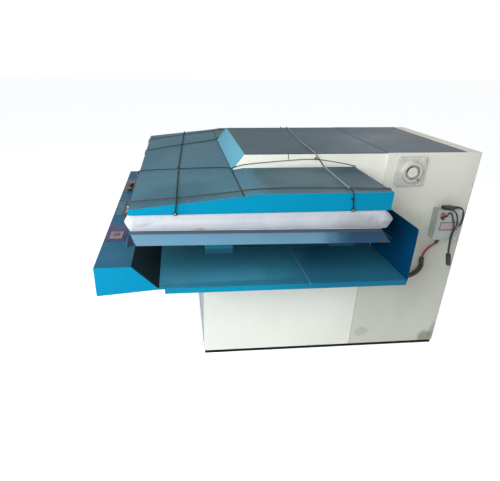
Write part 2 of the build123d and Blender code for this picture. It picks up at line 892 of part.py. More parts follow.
with BuildPart() as nose_panel:
    side_profile(
        (
            (crease_y, crease_top + cord_clearance),
            (nose_top_y, body_height),
            (nose_top_y + arm_sheet, body_height),
            (crease_y + arm_sheet, crease_top + cord_clearance),
        ),
        -arm_half,
        arm_half,
    )
save(nose_panel, "nose_panel")

with BuildPart() as arm_top_cover:
    block(
        (-arm_half, nose_top_y + arm_sheet, arm_top), (arm_half, arm_seam, body_height)
    )
save(arm_top_cover, "arm_top_cover")

# Head covers: a sloped front sheet, a wing sheet each side of the arm, and the wedge-shaped sides
cover_half = head_half - sheet
with BuildPart() as head_front_cover:
    side_profile(
        (
            (head_front, head_bottom),
            (head_front, front_top),
            (crease_y, crease_top),
            (crease_y, crease_top - sheet),
            (head_front + sheet, front_top - sheet),
            (head_front + sheet, head_bottom),
        ),
        -cover_half,
        cover_half,
    )
save(head_front_cover, "head_front_cover")

with BuildPart() as wing_covers:
    side_profile(
        (
            (crease_y, crease_top),
            (flat_y, flat_top),
            (head_rear, flat_top),
            (head_rear, head_bottom),
            (head_rear - sheet, head_bottom),
            (head_rear - sheet, flat_top - sheet),
            (flat_y, flat_top - sheet),
            (crease_y, crease_top - sheet),
        ),
        arm_half,
        cover_half,
    )
    mirror(about=Plane.YZ)
save(wing_covers, "wing_covers")

with BuildPart() as head_sides:
    side_profile(
        (
            (head_front, head_bottom),
            (head_front, front_top),
            (crease_y, crease_top),
            (flat_y, flat_top),
            (head_rear, flat_top),
            (head_rear, head_bottom),
        ),
        cover_half,
        head_half,
    )
    mirror(about=Plane.YZ)
save(head_sides, "head_sides")

with BuildPart() as head_ribs:
    for number in range(3):
        y = nose_top_y + arm_sheet + (number + 0.3) * (arm_seam - nose_top_y) / 3
        for x_low, x_high in (
            (arm_sheet - arm_half, -lever_outer),
            (-lever_inner, lever_inner),
            (lever_outer, arm_half - arm_sheet),
        ):
            block((x_low, y, lever_low), (x_high, y + rib, arm_top))
    for y in (
        head_front + 0.2 * (crease_y - head_front),
        head_front + 0.65 * (crease_y - head_front),
    ):
        height = head_top(y) - 1.2 * sheet
        for x_low, x_high in (
            (-cover_half, -lever_outer),
            (-lever_inner, lever_inner),
            (lever_outer, cover_half),
        ):
            block((x_low, y, head_bottom), (x_high, y + rib, height))
    for share in (0.1, 0.5, 0.85):
        y = flat_y + share * (head_rear - flat_y)
        for x_low, x_high in ((-cover_half, -arm_half), (arm_half, cover_half)):
            block((x_low, y, head_bottom), (x_high, y + rib, flat_top - sheet))
save(head_ribs, "head_ribs")

# Upper platen with its pad and cotton cover
stack_rear = head_rear - cover_rear_setback
stack_middle = (head_front + stack_rear) / 2
stack_length = stack_rear - head_front
with BuildPart() as upper_platen:
    with BuildSketch(Plane.XY.offset(head_bottom)):
        with Locations((0, stack_middle)):
            Rectangle(head_width - 2 * platen_inset, stack_length - 2 * platen_inset)
    extrude(amount=-platen_thickness)
save(upper_platen, "upper_platen")

cloth_inside = bed.offset(press_gap + cover_cloth)
with BuildPart() as press_pad:
    pad_half = head_half - platen_inset
    with BuildSketch(Plane.XY.offset(head_bottom - platen_thickness)):
        with Locations((0, stack_middle)):
            Rectangle(2 * pad_half, stack_length - 2 * platen_inset)
    with BuildSketch(cloth_inside.offset(0.3)):
        with Locations((0, -stack_length / 2)):
            Rectangle(2 * pad_half, stack_length - 2 * platen_inset)
    loft(ruled=True)
save(press_pad, "press_pad")

with BuildPart() as pad_cover:
    for inset, top, bottom, mode in (
        (0, head_bottom, bed.offset(press_gap), Mode.ADD),
        (cover_cloth, head_bottom, cloth_inside, Mode.SUBTRACT),
    ):
        with BuildSketch(Plane.XY.offset(top)):
            with Locations((0, stack_middle)):
                Rectangle(head_width - 2 * inset, stack_length - 2 * inset)
        with BuildSketch(Plane.XY.offset(head_bottom - cover_ridge_drop)):
            with Locations((0, stack_middle)):
                Rectangle(
                    head_width + 2 * cover_bulge - 2 * inset,
                    stack_length + 2 * cover_bulge - 2 * inset,
                )
        loft(ruled=True, mode=mode)
        with BuildSketch(Plane.XY.offset(head_bottom - cover_ridge_drop)):
            with Locations((0, stack_middle)):
                Rectangle(
                    head_width + 2 * cover_bulge - 2 * inset,
                    stack_length + 2 * cover_bulge - 2 * inset,
                )
        with BuildSketch(bottom):
            with Locations((0, -stack_length / 2)):
                Rectangle(head_width - 2 * inset, stack_length - 2 * inset)
        loft(ruled=True, mode=mode)
save(pad_cover, "pad_cover")

# Electrical box, its lid and its two push buttons
box_y = column_front + box_behind
box_depth, box_width, box_tall = box_size
box_face = body_half + box_depth
with BuildPart() as electrical_box:
    block(
        (body_half, box_y, box_foot),
        (box_face, box_y + box_width, box_foot + box_tall),
    )
    block(
        (body_half + box_wall, box_y + box_wall, box_foot + box_wall),
        (box_face, box_y + box_width - box_wall, box_foot + box_tall - box_wall),
        mode=Mode.SUBTRACT,
    )
save(electrical_box, "electrical_box")

lid_face = box_face + lid_depth
push_y = box_y + push_from_edge
push_z = [
    box_foot + box_tall - push_from_edge - number * push_pitch for number in range(2)
]
with BuildPart() as box_lid:
    block(
        (box_face, box_y - lid_overlap, box_foot - lid_overlap),
        (lid_face, box_y + box_width + lid_overlap, box_foot + box_tall + lid_overlap),
    )
    fillet(box_lid.edges().filter_by(Axis.X), 5)
    chamfer(box_lid.faces().sort_by(Axis.X)[-1].edges(), 1.5)
    with BuildSketch(Plane.YZ.offset(box_face)):
        with Locations(*[(push_y, z) for z in push_z]):
            Circle(push_stem + push_fit)
    extrude(amount=lid_depth, mode=Mode.SUBTRACT)
save(box_lid, "box_lid")

for name, z in zip(("stop_button", "start_button"), push_z):
    with BuildPart() as push_button:
        with BuildSketch(Plane.YZ.offset(box_face + 1)):
            with Locations((push_y, z)):
                Circle(push_stem)
        extrude(amount=lid_depth + 4)
        with BuildSketch(Plane.YZ.offset(lid_face + 5)):
            with Locations((push_y, z)):
                Circle(push_radius)
        extrude(amount=push_height)
        fillet(push_button.faces().sort_by(Axis.X)[-1].edges(), 2)
    save(push_button, name)

# Routes of the cables on the column's right side: places chosen to hang as the real ones do
box_middle = body_half + box_depth / 2
box_top = box_foot + box_tall
gland_y = box_y + 0.4 * box_width
clamp_depth, clamp_width, clamp_height = clamp_size
clamp_y = box_y + 0.46 * box_width
exit_z = box_top + lid_overlap + clamp_height / 2
sleeve_x = body_half + 1.35 * sleeve_radius

joint_point = (sleeve_x, box_y - 6.0, 560.0)
red_route = [
    (box_middle, gland_y, box_foot - gland_length),
    (box_middle, gland_y, box_foot - gland_length - 14.0),
    (box_middle - 3.0, gland_y - 18.0, box_foot - gland_length - 29.0),
    (box_middle - 7.0, box_y + 6.0, 613.0),
    (sleeve_x + 1.0, box_y - 6.0, 585.0),
    joint_point,
]
sleeve_route = [
    joint_point,
    (sleeve_x - 1.0, box_y - 6.0, 535.0),
    (sleeve_x - 0.5, box_y, 513.0),
    (sleeve_x - 0.5, box_y - 8.0, 491.0),
    (sleeve_x, box_y - 24.0, 473.0),
    (sleeve_x, box_y - 45.0, 460.0),
    (sleeve_x, box_y - 69.0, 454.0),
    (sleeve_x, box_y - 93.0, 454.0),
]
supply_x = box_middle + 12.0
supply_end = (body_half + gland_length / 2, box_y + 146.0, exit_z - 112.0)
supply_route = [
    (supply_x, clamp_y + clamp_width / 2, exit_z),
    (supply_x, box_y + 92.0, exit_z),
    (supply_x + 2.0, box_y + 110.0, exit_z + 0.5),
    (supply_x + 4.0, box_y + 126.0, exit_z - 8.0),
    (supply_x + 6.0, box_y + 135.0, exit_z - 26.0),
    (supply_x + 6.0, box_y + 139.0, exit_z - 48.0),
    (supply_x + 3.0, box_y + 141.0, exit_z - 71.0),
    (supply_x - 4.0, box_y + 143.0, exit_z - 92.0),
    (supply_x - 17.0, box_y + 145.0, exit_z - 107.0),
    supply_end,
]
hang = Vector(0, 0.24, -1).normalized()
pendant_end = Vector(lid_face + 14.5, box_y + 90.0, 606)
pendant_pitch = 2 * pendant_radius + 1.5
outer_x = lid_face + 15.0
inner_x = lid_face + 7.0
pendant_routes = [
    [
        (box_face + 5.0, clamp_y - 3.0, exit_z),
        (outer_x - 10.0, clamp_y - 3.0, exit_z),
        (outer_x + 0.5, box_y + 57.0, exit_z - 2.0),
        (outer_x + 1.5, box_y + 71.0, exit_z - 13.0),
        (outer_x + 1.0, box_y + 83.0, exit_z - 32.0),
        (outer_x, box_y + 90.0, exit_z - 55.0),
        (outer_x, box_y + 92.0, exit_z - 80.0),
        (outer_x, box_y + 87.0, exit_z - 104.0),
        (outer_x, box_y + 81.0, exit_z - 128.0),
        (outer_x, box_y + 82.0, exit_z - 154.0),
        (outer_x, box_y + 84.0, exit_z - 182.0),
    ],
    [
        (lid_face, box_y + 31.0, exit_z - 35.0),
        (lid_face + 13.0, box_y + 31.0, exit_z - 35.0),
        (lid_face + 13.5, box_y + 34.0, exit_z - 22.0),
        (lid_face + 11.0, box_y + 42.0, exit_z - 15.0),
        (lid_face + 8.5, box_y + 54.0, exit_z - 18.0),
        (inner_x, box_y + 65.0, exit_z - 35.0),
        (inner_x, box_y + 75.0, exit_z - 58.0),
        (inner_x, box_y + 84.0, exit_z - 83.0),
        (inner_x, box_y + 86.0, exit_z - 108.0),
        (inner_x, box_y + 81.0, exit_z - 131.0),
        (inner_x, box_y + 82.0, exit_z - 156.0),
        (inner_x, box_y + 85.0, exit_z - 182.0),
    ],
]
for number, route in enumerate(pendant_routes):
    middle = pendant_end + Vector((0.5 - number) * pendant_pitch, 0, 0)
    route.append(tuple(middle - hang * 25))
    route.append(tuple(middle))

with BuildPart() as red_cable:
    red_radii = tube(red_route, red_cable_radius)
save(red_cable, "red_cable")

with BuildPart() as cable_sleeve:
    sleeve_radii = tube(sleeve_route, sleeve_radius)
save(cable_sleeve, "cable_sleeve")

with BuildPart() as supply_cable:
    supply_radii = tube(supply_route, cable_radius)
save(supply_cable, "supply_cable")

with BuildPart() as pendant_cables:
    pendant_radii = [tube(route, pendant_radius) for route in pendant_routes]
save(pendant_cables, "pendant_cables")

for name, radii in (
    ("red cable", red_radii),
    ("cable sleeve", sleeve_radii),
    ("supply cable", supply_radii),
    ("pendant from the clamp", pendant_radii[0]),
    ("pendant from the lid", pendant_radii[1]),
):
    print(name, "radii", [round(r, 1) for r in radii])

with BuildPart() as pendant_connector:
    with BuildSketch(Plane(origin=pendant_end, x_dir=(1, 0, 0), z_dir=hang)):
        RectangleRounded(2 * connector_radius, 1.4 * connector_radius, radius=4)
    extrude(amount=connector_length)
    fillet(pendant_connector.faces().sort_by(Axis.Z)[0].edges(), 3)
save(pendant_connector, "pendant_connector")

# What the cables come out of: a gland under the box, a clamp on it and two glands on the column
with BuildPart() as cable_glands:
    with BuildSketch(Plane.XY.offset(box_foot)):
        with Locations((box_middle, gland_y)):
            RegularPolygon(gland_radius, 6)
    extrude(amount=-gland_length / 2)
    with BuildSketch(Plane.XY.offset(box_foot - gland_length / 2)):
        with Locations((box_middle, gland_y)):
            Circle(0.8 * gland_radius)
    extrude(amount=-gland_length / 2)

    clamp_middle = box_face + 5.0 - clamp_depth / 2
    with BuildSketch(Plane.XZ.offset(-clamp_y - clamp_width / 2)) as clamp_outline:
        with Locations((clamp_middle, exit_z)):
            Rectangle(clamp_depth, clamp_height)
        fillet(clamp_outline.vertices().group_by(Axis.Y)[-1], 5)
    extrude(amount=clamp_width)
    block(
        (clamp_middle - clamp_depth / 2, clamp_y - clamp_width / 2, box_top),
        (box_face, clamp_y + clamp_width / 2, exit_z),
    )

    end_x, end_y, end_z = sleeve_route[-1]
    with BuildSketch(Plane.XZ.offset(-end_y)):
        with Locations((end_x, end_z)):
            Circle(1.2 * sleeve_radius)
    extrude(amount=1.2 * sleeve_radius)
    block(
        (body_half, end_y - 3.6 * sleeve_radius, end_z - 1.3 * sleeve_radius),
        (end_x + sleeve_radius, end_y - sleeve_radius, end_z + 1.3 * sleeve_radius),
    )

    supply_run = Vector(*supply_end) - Vector(*supply_route[-2])
    with BuildSketch(Plane(origin=supply_end, z_dir=supply_run)) as neck:
        Circle(0.9 * gland_radius)
    extrude(neck.sketch, amount=gland_length)
    with BuildSketch(Plane.YZ.offset(body_half)) as nut:
        with Locations((supply_end[1], supply_end[2] - 1.0)):
            RegularPolygon(1.2 * gland_radius, 6)
    extrude(nut.sketch, amount=gland_length / 4)
    block(
        (0, supply_end[1] - 50, supply_end[2] - 50),
        (body_half, supply_end[1] + 50, supply_end[2] + 50),
        mode=Mode.SUBTRACT,
    )
save(cable_glands, "cable_glands")

# Tie cords over the head, with the hooks that hold them
lift = cord_radius + cord_clearance
outside = head_half + 2 * lift
front_out = head_front - 1.6 * lift
rear_out = head_rear + 1.6 * lift
hook_z = head_bottom + 8.0
wall_x = arm_half + 1.1 * lift
nose_corner = (wall_x + 1.0, crease_y - 1.0, crease_top + 2.6 * lift)


def over_head(x, y, extra=0.0):
    """A point of a cord that lies on the head's covers, raised by extra where it crosses others."""
    return (x, y, head_top(y) + 1.25 * lift + extra)


crossing = 2.2 * cord_radius
cords_along_routes = [
    [
        (727, front_out, hook_z),
        (727, front_out, front_top + 1.6 * lift),
        over_head(738, -555),
        over_head(749, crease_y),
        over_head(747, flat_y),
        over_head(737, -72),
        (774, rear_out, flat_top + 1.6 * lift),
        (776, rear_out, hook_z),
    ],
    [
        (231, front_out, hook_z),
        (231, front_out, front_top + 1.6 * lift),
        over_head(263, -554),
        over_head(346, crease_y - 12),
        nose_corner,
        (wall_x + 1, crease_y + 36, 1054),
        (wall_x, -45, 1070),
        (wall_x, 81, 1077),
        (wall_x, 202, 1058),
        (wall_x, rear_out, flat_top + 1.6 * lift),
        (wall_x, rear_out, hook_z),
    ],
    [
        (-268, front_out, hook_z),
        (-268, front_out, front_top + 1.6 * lift),
        over_head(-352, -513),
        over_head(-386, crease_y - 12),
        (-nose_corner[0], nose_corner[1], nose_corner[2]),
        (-wall_x - 1, crease_y + 40, 1055),
        (-wall_x, 30, 1072),
        (-wall_x, 170, 1060),
        (-wall_x, rear_out, flat_top + 1.6 * lift),
        (-wall_x, rear_out, hook_z),
    ],
    [
        (-651, front_out, hook_z),
        (-651, front_out, front_top + 1.6 * lift),
        over_head(-722, crease_y),
        over_head(-735, flat_y),
        (-748, rear_out, flat_top + 1.6 * lift),
        (-748, rear_out, hook_z),
    ],
]
cords_across_routes = [
    [
        (outside, -563, hook_z),
        (outside, -558, head_top(-558) + 3.2 * lift),
        over_head(232, -547, crossing),
        (-outside, -500, head_top(-500) + 3.2 * lift),
        (-outside, -498, hook_z),
    ],
    [
        (outside, 122, hook_z),
        (outside, 112, flat_top + 3.2 * lift),
        (wall_x + 6, 124, flat_top + 3.4 * lift),
        (wall_x + 6, 81, body_height + 1.6 * lift),
        (54, 90, body_height + 1.3 * lift),
        (-wall_x - 6, 132, body_height + 1.6 * lift),
        (-wall_x - 6, 150, flat_top + 3.4 * lift),
        (-outside, 190, flat_top + 3.2 * lift),
        (-outside, 196, hook_z),
    ],
]
for name, routes in (
    ("cords_along", cords_along_routes),
    ("cords_across", cords_across_routes),
):
    with BuildPart() as cord_set:
        for route in routes:
            radii = tube(route, cord_radius, limit=4 * cord_radius)
            print(name, "radii", [round(r, 1) for r in radii])
    save(cord_set, name)

# Pegs along the lower edge of the head, which the cords are tied to
with BuildPart() as cord_hooks:
    for route in cords_along_routes + cords_across_routes:
        for x, y, z in (route[0], route[-1]):
            on_side = abs(x) > head_half
            normal = (x, 0, 0) if on_side else (0, y - (head_front + head_rear) / 2, 0)
            edge = head_rear if y > head_rear else head_front
            foot_x = head_half * (1 if x > 0 else -1) if on_side else x
            foot_y = y if on_side else edge
            peg_z = z - hook_radius - cord_clearance / 2
            with BuildSketch(Plane(origin=(foot_x, foot_y, peg_z), z_dir=normal)) as peg:
                Circle(hook_radius)
            extrude(peg.sketch, amount=hook_length)
save(cord_hooks, "cord_hooks")
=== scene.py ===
"""Dresses, lights and frames the flatbed press.

Metres. X points to the operator's right, Y to the rear and Z up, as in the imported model, whose
nodes keep their meshes. The soft parts, the cables and the tie cords are made new in their place.
"""

from __future__ import annotations

import logging
import math
from collections.abc import Callable, Iterable, Sequence
from dataclasses import dataclass, replace
from enum import Enum
from typing import Any

import bmesh
import bpy
from mathutils import Matrix, Vector, noise


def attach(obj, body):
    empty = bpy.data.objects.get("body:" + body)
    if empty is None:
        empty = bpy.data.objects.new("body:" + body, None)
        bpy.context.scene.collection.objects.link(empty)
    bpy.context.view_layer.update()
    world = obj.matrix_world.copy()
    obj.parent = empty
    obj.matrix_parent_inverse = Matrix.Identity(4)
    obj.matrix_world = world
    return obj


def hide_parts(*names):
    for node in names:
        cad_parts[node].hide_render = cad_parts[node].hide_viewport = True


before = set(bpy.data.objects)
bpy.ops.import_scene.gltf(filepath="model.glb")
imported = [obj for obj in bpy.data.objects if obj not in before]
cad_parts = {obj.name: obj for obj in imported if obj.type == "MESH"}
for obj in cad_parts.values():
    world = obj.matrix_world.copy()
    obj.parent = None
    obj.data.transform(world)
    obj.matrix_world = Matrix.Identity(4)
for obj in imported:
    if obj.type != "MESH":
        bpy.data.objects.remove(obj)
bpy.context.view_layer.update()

log = logging.getLogger("press")

Colour = tuple[float, float, float]
Point = tuple[float, float, float]
Shape = tuple[Sequence[Vector], Sequence[tuple[int, ...]]]

BLACK: Colour = (0.0, 0.0, 0.0)

NODES: dict[str, bpy.types.Object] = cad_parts


class Slot(Enum):
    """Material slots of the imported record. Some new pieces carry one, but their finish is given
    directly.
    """

    COTTON = "cotton"
    FELT = "felt"
    INSULATION = "insulation"
    CORD = "cord"
    BLACK_RUBBER = "black_rubber"
    RED_RUBBER = "red_rubber"
    BLACK_PLASTIC = "black_plastic"
    GREY_PLASTIC = "grey_plastic"
    BRIGHT_STEEL = "bright_steel"
    WHITE_PAINT = "white_paint"
    SLATE_PAINT = "slate_paint"


class Body(Enum):
    """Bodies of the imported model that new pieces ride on."""

    STAND = "stand"
    HEAD = "head"


def tint(red: int, green: int, blue: int) -> Colour:
    """Turns a paint chip's display values into the linear values that a shader takes.

    Args:
        red: Red from 0 to 255.
        green: Green from 0 to 255.
        blue: Blue from 0 to 255.

    Returns:
        The linear red, green and blue.
    """

    def linear(value: float) -> float:
        """One channel from display to linear."""
        share = value / 255
        return share / 12.92 if share <= 0.04045 else ((share + 0.055) / 1.055) ** 2.4

    return linear(red), linear(green), linear(blue)


def opaque(colour: Colour) -> tuple[float, float, float, float]:
    """The colour with full alpha, as colour sockets take it."""
    return (*colour, 1.0)


# ---------------------------------------------------------------------------------------------
# Node trees


class Graph:
    """Adds nodes to a tree and joins them."""

    def __init__(self, tree: bpy.types.NodeTree) -> None:
        """Starts from an empty tree."""
        self.tree = tree
        tree.nodes.clear()

    def add(
        self, kind: str, inputs: dict[str | int, Any] | None = None, **settings: Any
    ) -> bpy.types.Node:
        """Adds a node.

        Args:
            kind: The node's type name.
            inputs: Values or output sockets for its inputs, by socket name or index.
            settings: Properties of the node itself.

        Returns:
            The node.
        """
        node = self.tree.nodes.new(kind)
        for key, value in settings.items():
            setattr(node, key, value)
        self.give(node, inputs or {})
        return node

    def give(self, node: bpy.types.Node, inputs: dict[str | int, Any]) -> None:
        """Feeds a node's inputs, by socket name or index."""
        for key, value in inputs.items():
            self.feed(self.socket(node.inputs, key), value)

    @staticmethod
    def socket(sockets: Any, key: str | int) -> bpy.types.NodeSocket:
        """The enabled socket of that name or index."""
        if isinstance(key, int):
            return sockets[key]
        return next(s for s in sockets if s.name == key and s.enabled)

    def feed(self, socket: bpy.types.NodeSocket, value: Any) -> None:
        """Links an output socket to an input, or sets the input's value."""
        if isinstance(value, bpy.types.NodeSocket):
            self.tree.links.new(value, socket)
        else:
            socket.default_value = value

    def math(self, operation: str, first: Any, second: Any = 0.0, clamp: bool = False) -> Any:
        """The output of a Math node."""
        node = self.add("ShaderNodeMath", {0: first, 1: second}, operation=operation)
        node.use_clamp = clamp
        return node.outputs[0]

    def times(self, first: Any, second: Any) -> Any:
        """The product of two values."""
        return self.math("MULTIPLY", first, second)

    def plus(self, first: Any, second: Any, clamp: bool = False) -> Any:
        """The sum of two values."""
        return self.math("ADD", first, second, clamp)

    def vector(self, operation: str, first: Any, second: Any = (0.0, 0.0, 0.0)) -> Any:
        """The vector output of a Vector Math node."""
        node = self.add("ShaderNodeVectorMath", {0: first, 1: second}, operation=operation)
        return node.outputs["Value" if operation in ("LENGTH", "DOT_PRODUCT") else "Vector"]

    def colour(self, share: Any, first: Any, second: Any) -> Any:
        """The output of a Mix node for two colours."""
        node = self.add("ShaderNodeMix", data_type="RGBA")
        node.clamp_factor = True
        for name, value in (("Factor", share), ("A", first), ("B", second)):
            value = opaque(value) if isinstance(value, tuple) and len(value) == 3 else value
            self.feed(self.socket(node.inputs, name), value)
        return self.socket(node.outputs, "Result")

    def span(
        self, value: Any, low: float, high: float, to_low: float = 0.0, to_high: float = 1.0
    ) -> Any:
        """The value moved smoothly from one range to another, and held at its ends."""
        inputs = {"Value": value, "From Min": low, "From Max": high}
        inputs |= {"To Min": to_low, "To Max": to_high}
        node = self.add("ShaderNodeMapRange", inputs, interpolation_type="SMOOTHSTEP")
        return node.outputs["Result"]

    def noise(
        self, place: Any, scale: Any, detail: float = 3.0, rough: float = 0.5, warp: float = 0.0
    ) -> Any:
        """The value of a Noise Texture."""
        inputs = {"Vector": place, "Scale": scale, "Detail": detail, "Roughness": rough}
        return self.add("ShaderNodeTexNoise", {**inputs, "Distortion": warp}).outputs[0]

    def place(self) -> Any:
        """The point on the surface in the object's own metres."""
        return self.add("ShaderNodeTexCoord").outputs["Object"]

    def facing(self) -> Any:
        """The surface's direction in the object's own axes."""
        return self.add("ShaderNodeTexCoord").outputs["Normal"]

    def parts(self, value: Any) -> tuple[Any, Any, Any]:
        """The X, Y and Z of a vector socket."""
        node = self.add("ShaderNodeSeparateXYZ", {0: value})
        return node.outputs[0], node.outputs[1], node.outputs[2]

    def stretched(self, place: Any, scale: Point) -> Any:
        """A place scaled along its axes, which draws a pattern out."""
        return self.add("ShaderNodeMapping", {"Vector": place, "Scale": scale}).outputs[0]

    def bump(self, height: Any, distance: float, strength: float, normal: Any = None) -> Any:
        """The normal of a Bump node."""
        inputs = {"Height": height, "Distance": distance, "Strength": strength}
        if normal is not None:
            inputs["Normal"] = normal
        return self.add("ShaderNodeBump", inputs).outputs[0]


def add_socket(
    tree: bpy.types.NodeTree, name: str, side: str, kind: str = "Float", value: Any = None
) -> str:
    """Adds a named input or output to a node group.

    Args:
        tree: The group.
        name: The socket's name.
        side: INPUT or OUTPUT.
        kind: What it carries: Float, Vector or Geometry.
        value: Its value while nothing is linked to it.

    Returns:
        The identifier by which a modifier sets it.
    """
    made = tree.interface.new_socket(name, in_out=side, socket_type="NodeSocket" + kind)
    if value is not None:
        made.default_value = value
    return made.identifier


class SharedEffect:
    """A shader node group that several finishes use. It is built the first time it is placed."""

    built: dict[str, bpy.types.NodeTree] = {}
    vectors = ("Normal", "Offset")

    def __init__(
        self,
        name: str,
        fill: Callable[[Graph, Any, Any], None],
        inputs: dict[str, float | None],
        outputs: Sequence[str],
    ) -> None:
        """Keeps what the group is made of.

        Args:
            name: The group's name.
            fill: Adds its nodes between the input node's and the output node's sockets.
            inputs: Its inputs and their values, with None for one that has none.
            outputs: Its outputs.
        """
        self.name, self.fill, self.inputs, self.outputs = name, fill, inputs, outputs

    def tree(self) -> bpy.types.NodeTree:
        """The group's node tree."""
        if self.name not in self.built:
            tree = bpy.data.node_groups.new(self.name, "ShaderNodeTree")
            graph = Graph(tree)
            sockets = [("INPUT", *entry) for entry in self.inputs.items()]
            sockets += [("OUTPUT", name, None) for name in self.outputs]
            for side, name, value in sockets:
                kind = "Vector" if name in self.vectors else "Float"
                add_socket(tree, name, side, kind, value)
            given, out = graph.add("NodeGroupInput").outputs, graph.add("NodeGroupOutput").inputs
            self.fill(graph, given, out)
            self.built[self.name] = tree
        return self.built[self.name]

    def put(self, graph: Graph, **inputs: Any) -> Any:
        """Places the group in a material.

        Args:
            graph: The material's tree.
            inputs: Values by input name, with underscores for spaces.

        Returns:
            The placed group's outputs.
        """
        node = graph.add("ShaderNodeGroup", node_tree=self.tree())
        for name, value in inputs.items():
            graph.feed(node.inputs[name.replace("_", " ")], value)
        return node.outputs


def fill_edge(graph: Graph, given: Any, out: Any) -> None:
    """A worn edge: where the surface turns within a small radius, broken up by noise."""
    soft = graph.add("ShaderNodeBevel", {"Radius": given["Radius"]}, samples=6).outputs[0]
    true = graph.add("ShaderNodeNewGeometry").outputs["True Normal"]
    turn = graph.math("SUBTRACT", 1.0, graph.vector("DOT_PRODUCT", soft, true))
    patchy = graph.noise(graph.place(), given["Scale"], 4.0, 0.65)
    near = graph.span(turn, 0.01, 0.12)
    chipped = graph.span(patchy, 0.52, 0.68)
    graph.feed(out["Mask"], graph.times(near, chipped))
    graph.feed(out["Normal"], soft)


def fill_spray(graph: Graph, given: Any, out: Any) -> None:
    """Sprayed paint: fine peel in the film and a slow drift of tone."""
    place = graph.place()
    peel = graph.noise(place, given["Peel Scale"], 2.0, 0.4)
    drift = graph.noise(place, given["Drift Scale"], 4.0, 0.6, 0.4)
    graph.feed(out["Height"], peel)
    graph.feed(out["Tone"], graph.span(drift, 0.3, 0.7))


def fill_dust(graph: Graph, given: Any, out: Any) -> None:
    """Dust that lies on what faces up, in soft uneven patches."""
    up = graph.parts(graph.facing())[2]
    lies = graph.span(up, 0.35, 0.95)
    patch = graph.noise(graph.place(), given["Scale"], 5.0, 0.62, 0.6)
    share = graph.times(lies, graph.span(patch, 0.35, 0.75))
    graph.feed(out["Mask"], graph.times(share, given["Amount"]))


def fill_scuffs(graph: Graph, given: Any, out: Any) -> None:
    """Rubbed marks and fine scratches, drawn out along Y."""
    place = graph.place()
    drawn = graph.noise(graph.stretched(place, (3.0, 0.5, 2.0)), given["Scale"], 6.0, 0.7, 0.5)
    where = graph.noise(place, 3.1, 2.0, 0.5)
    marks = graph.span(drawn, 0.62, 0.74)
    region = graph.span(where, 0.5, 0.66)
    share = graph.times(marks, region)
    graph.feed(out["Mask"], graph.times(share, given["Amount"]))


def fill_brushed(graph: Graph, given: Any, out: Any) -> None:
    """Brushed or turned metal: fine lines along X, with a broad unevenness."""
    lines = graph.noise(graph.stretched(graph.place(), (0.04, 1.0, 1.0)), given["Scale"], 3.0)
    broad = graph.noise(graph.place(), 9.0, 3.0, 0.6)
    graph.feed(out["Height"], lines)
    graph.feed(out["Tone"], graph.span(broad, 0.3, 0.7))


def fill_weave(graph: Graph, given: Any, out: Any) -> None:
    """Plain weave on the piece's own UV map, which is in metres."""
    across, along, _ = graph.parts(graph.add("ShaderNodeUVMap", uv_map="cloth").outputs[0])
    warp, weft = (
        graph.math("SINE", graph.times(way, graph.times(given["Threads"], 2 * math.pi)))
        for way in (across, along)
    )
    slub = graph.noise(graph.stretched(graph.place(), (1.0, 1.0, 6.0)), 140.0, 3.0, 0.6)
    graph.feed(out["Height"], graph.plus(graph.times(graph.times(warp, weft), 0.5), slub))
    graph.feed(out["Tone"], slub)


def fill_field(graph: Graph, given: Any, out: Any) -> None:
    """A box-shaped field with clean edges, for a change of sheet or a painted strip."""
    across, along, up = (graph.math("ABSOLUTE", part) for part in graph.parts(given["Offset"]))
    reach = graph.math("MAXIMUM", graph.math("MAXIMUM", across, along), up)
    inside = graph.span(reach, 0.985, 1.0, 1.0, 0.0)
    graph.feed(out["Mask"], graph.times(inside, given["Amount"]))


def fill_spot(graph: Graph, given: Any, out: Any) -> None:
    """A soft round patch with a ragged edge, from 0 outside to 1 at its middle."""
    ragged = graph.math("SUBTRACT", graph.noise(graph.place(), given["Scale"], 5.0, 0.65), 0.5)
    reach = graph.plus(given["Distance"], graph.times(ragged, 1.1))
    inside = graph.span(reach, 0.45, 1.0, 1.0, 0.0)
    graph.feed(out["Mask"], graph.times(inside, given["Amount"]))


EDGE = SharedEffect("worn edge", fill_edge, {"Radius": 0.0015, "Scale": 60.0}, ("Mask", "Normal"))
SPRAY = SharedEffect(
    "sprayed film", fill_spray, {"Peel Scale": 500.0, "Drift Scale": 2.0}, ("Height", "Tone")
)
DUST = SharedEffect("lying dust", fill_dust, {"Scale": 6.0, "Amount": 0.2}, ("Mask",))
SCUFFS = SharedEffect("scuffs", fill_scuffs, {"Scale": 20.0, "Amount": 0.3}, ("Mask",))
BRUSHED = SharedEffect("brushed lines", fill_brushed, {"Scale": 400.0}, ("Height", "Tone"))
WEAVE = SharedEffect("plain weave", fill_weave, {"Threads": 700.0}, ("Height", "Tone"))
SPOT = SharedEffect(
    "soft patch", fill_spot, {"Distance": 1.0, "Scale": 20.0, "Amount": 1.0}, ("Mask",)
)
FIELD = SharedEffect("clean field", fill_field, {"Offset": None, "Amount": 1.0}, ("Mask",))


# ---------------------------------------------------------------------------------------------
# Finishes


@dataclass(frozen=True)
class Patch:
    """A stain or a change of colour at a place on a surface."""

    middle: Point
    reach: Point
    colour: Colour
    amount: float = 1.0
    scale: float = 20.0
    clean: bool = False

    def mask(self, graph: Graph) -> Any:
        """The patch's strength over the surface."""
        centred = graph.vector("SUBTRACT", graph.place(), self.middle)
        scaled = graph.vector("DIVIDE", centred, self.reach)
        if self.clean:
            return FIELD.put(graph, Offset=scaled, Amount=self.amount)["Mask"]
        distance = graph.vector("LENGTH", scaled)
        return SPOT.put(graph, Distance=distance, Scale=self.scale, Amount=self.amount)["Mask"]


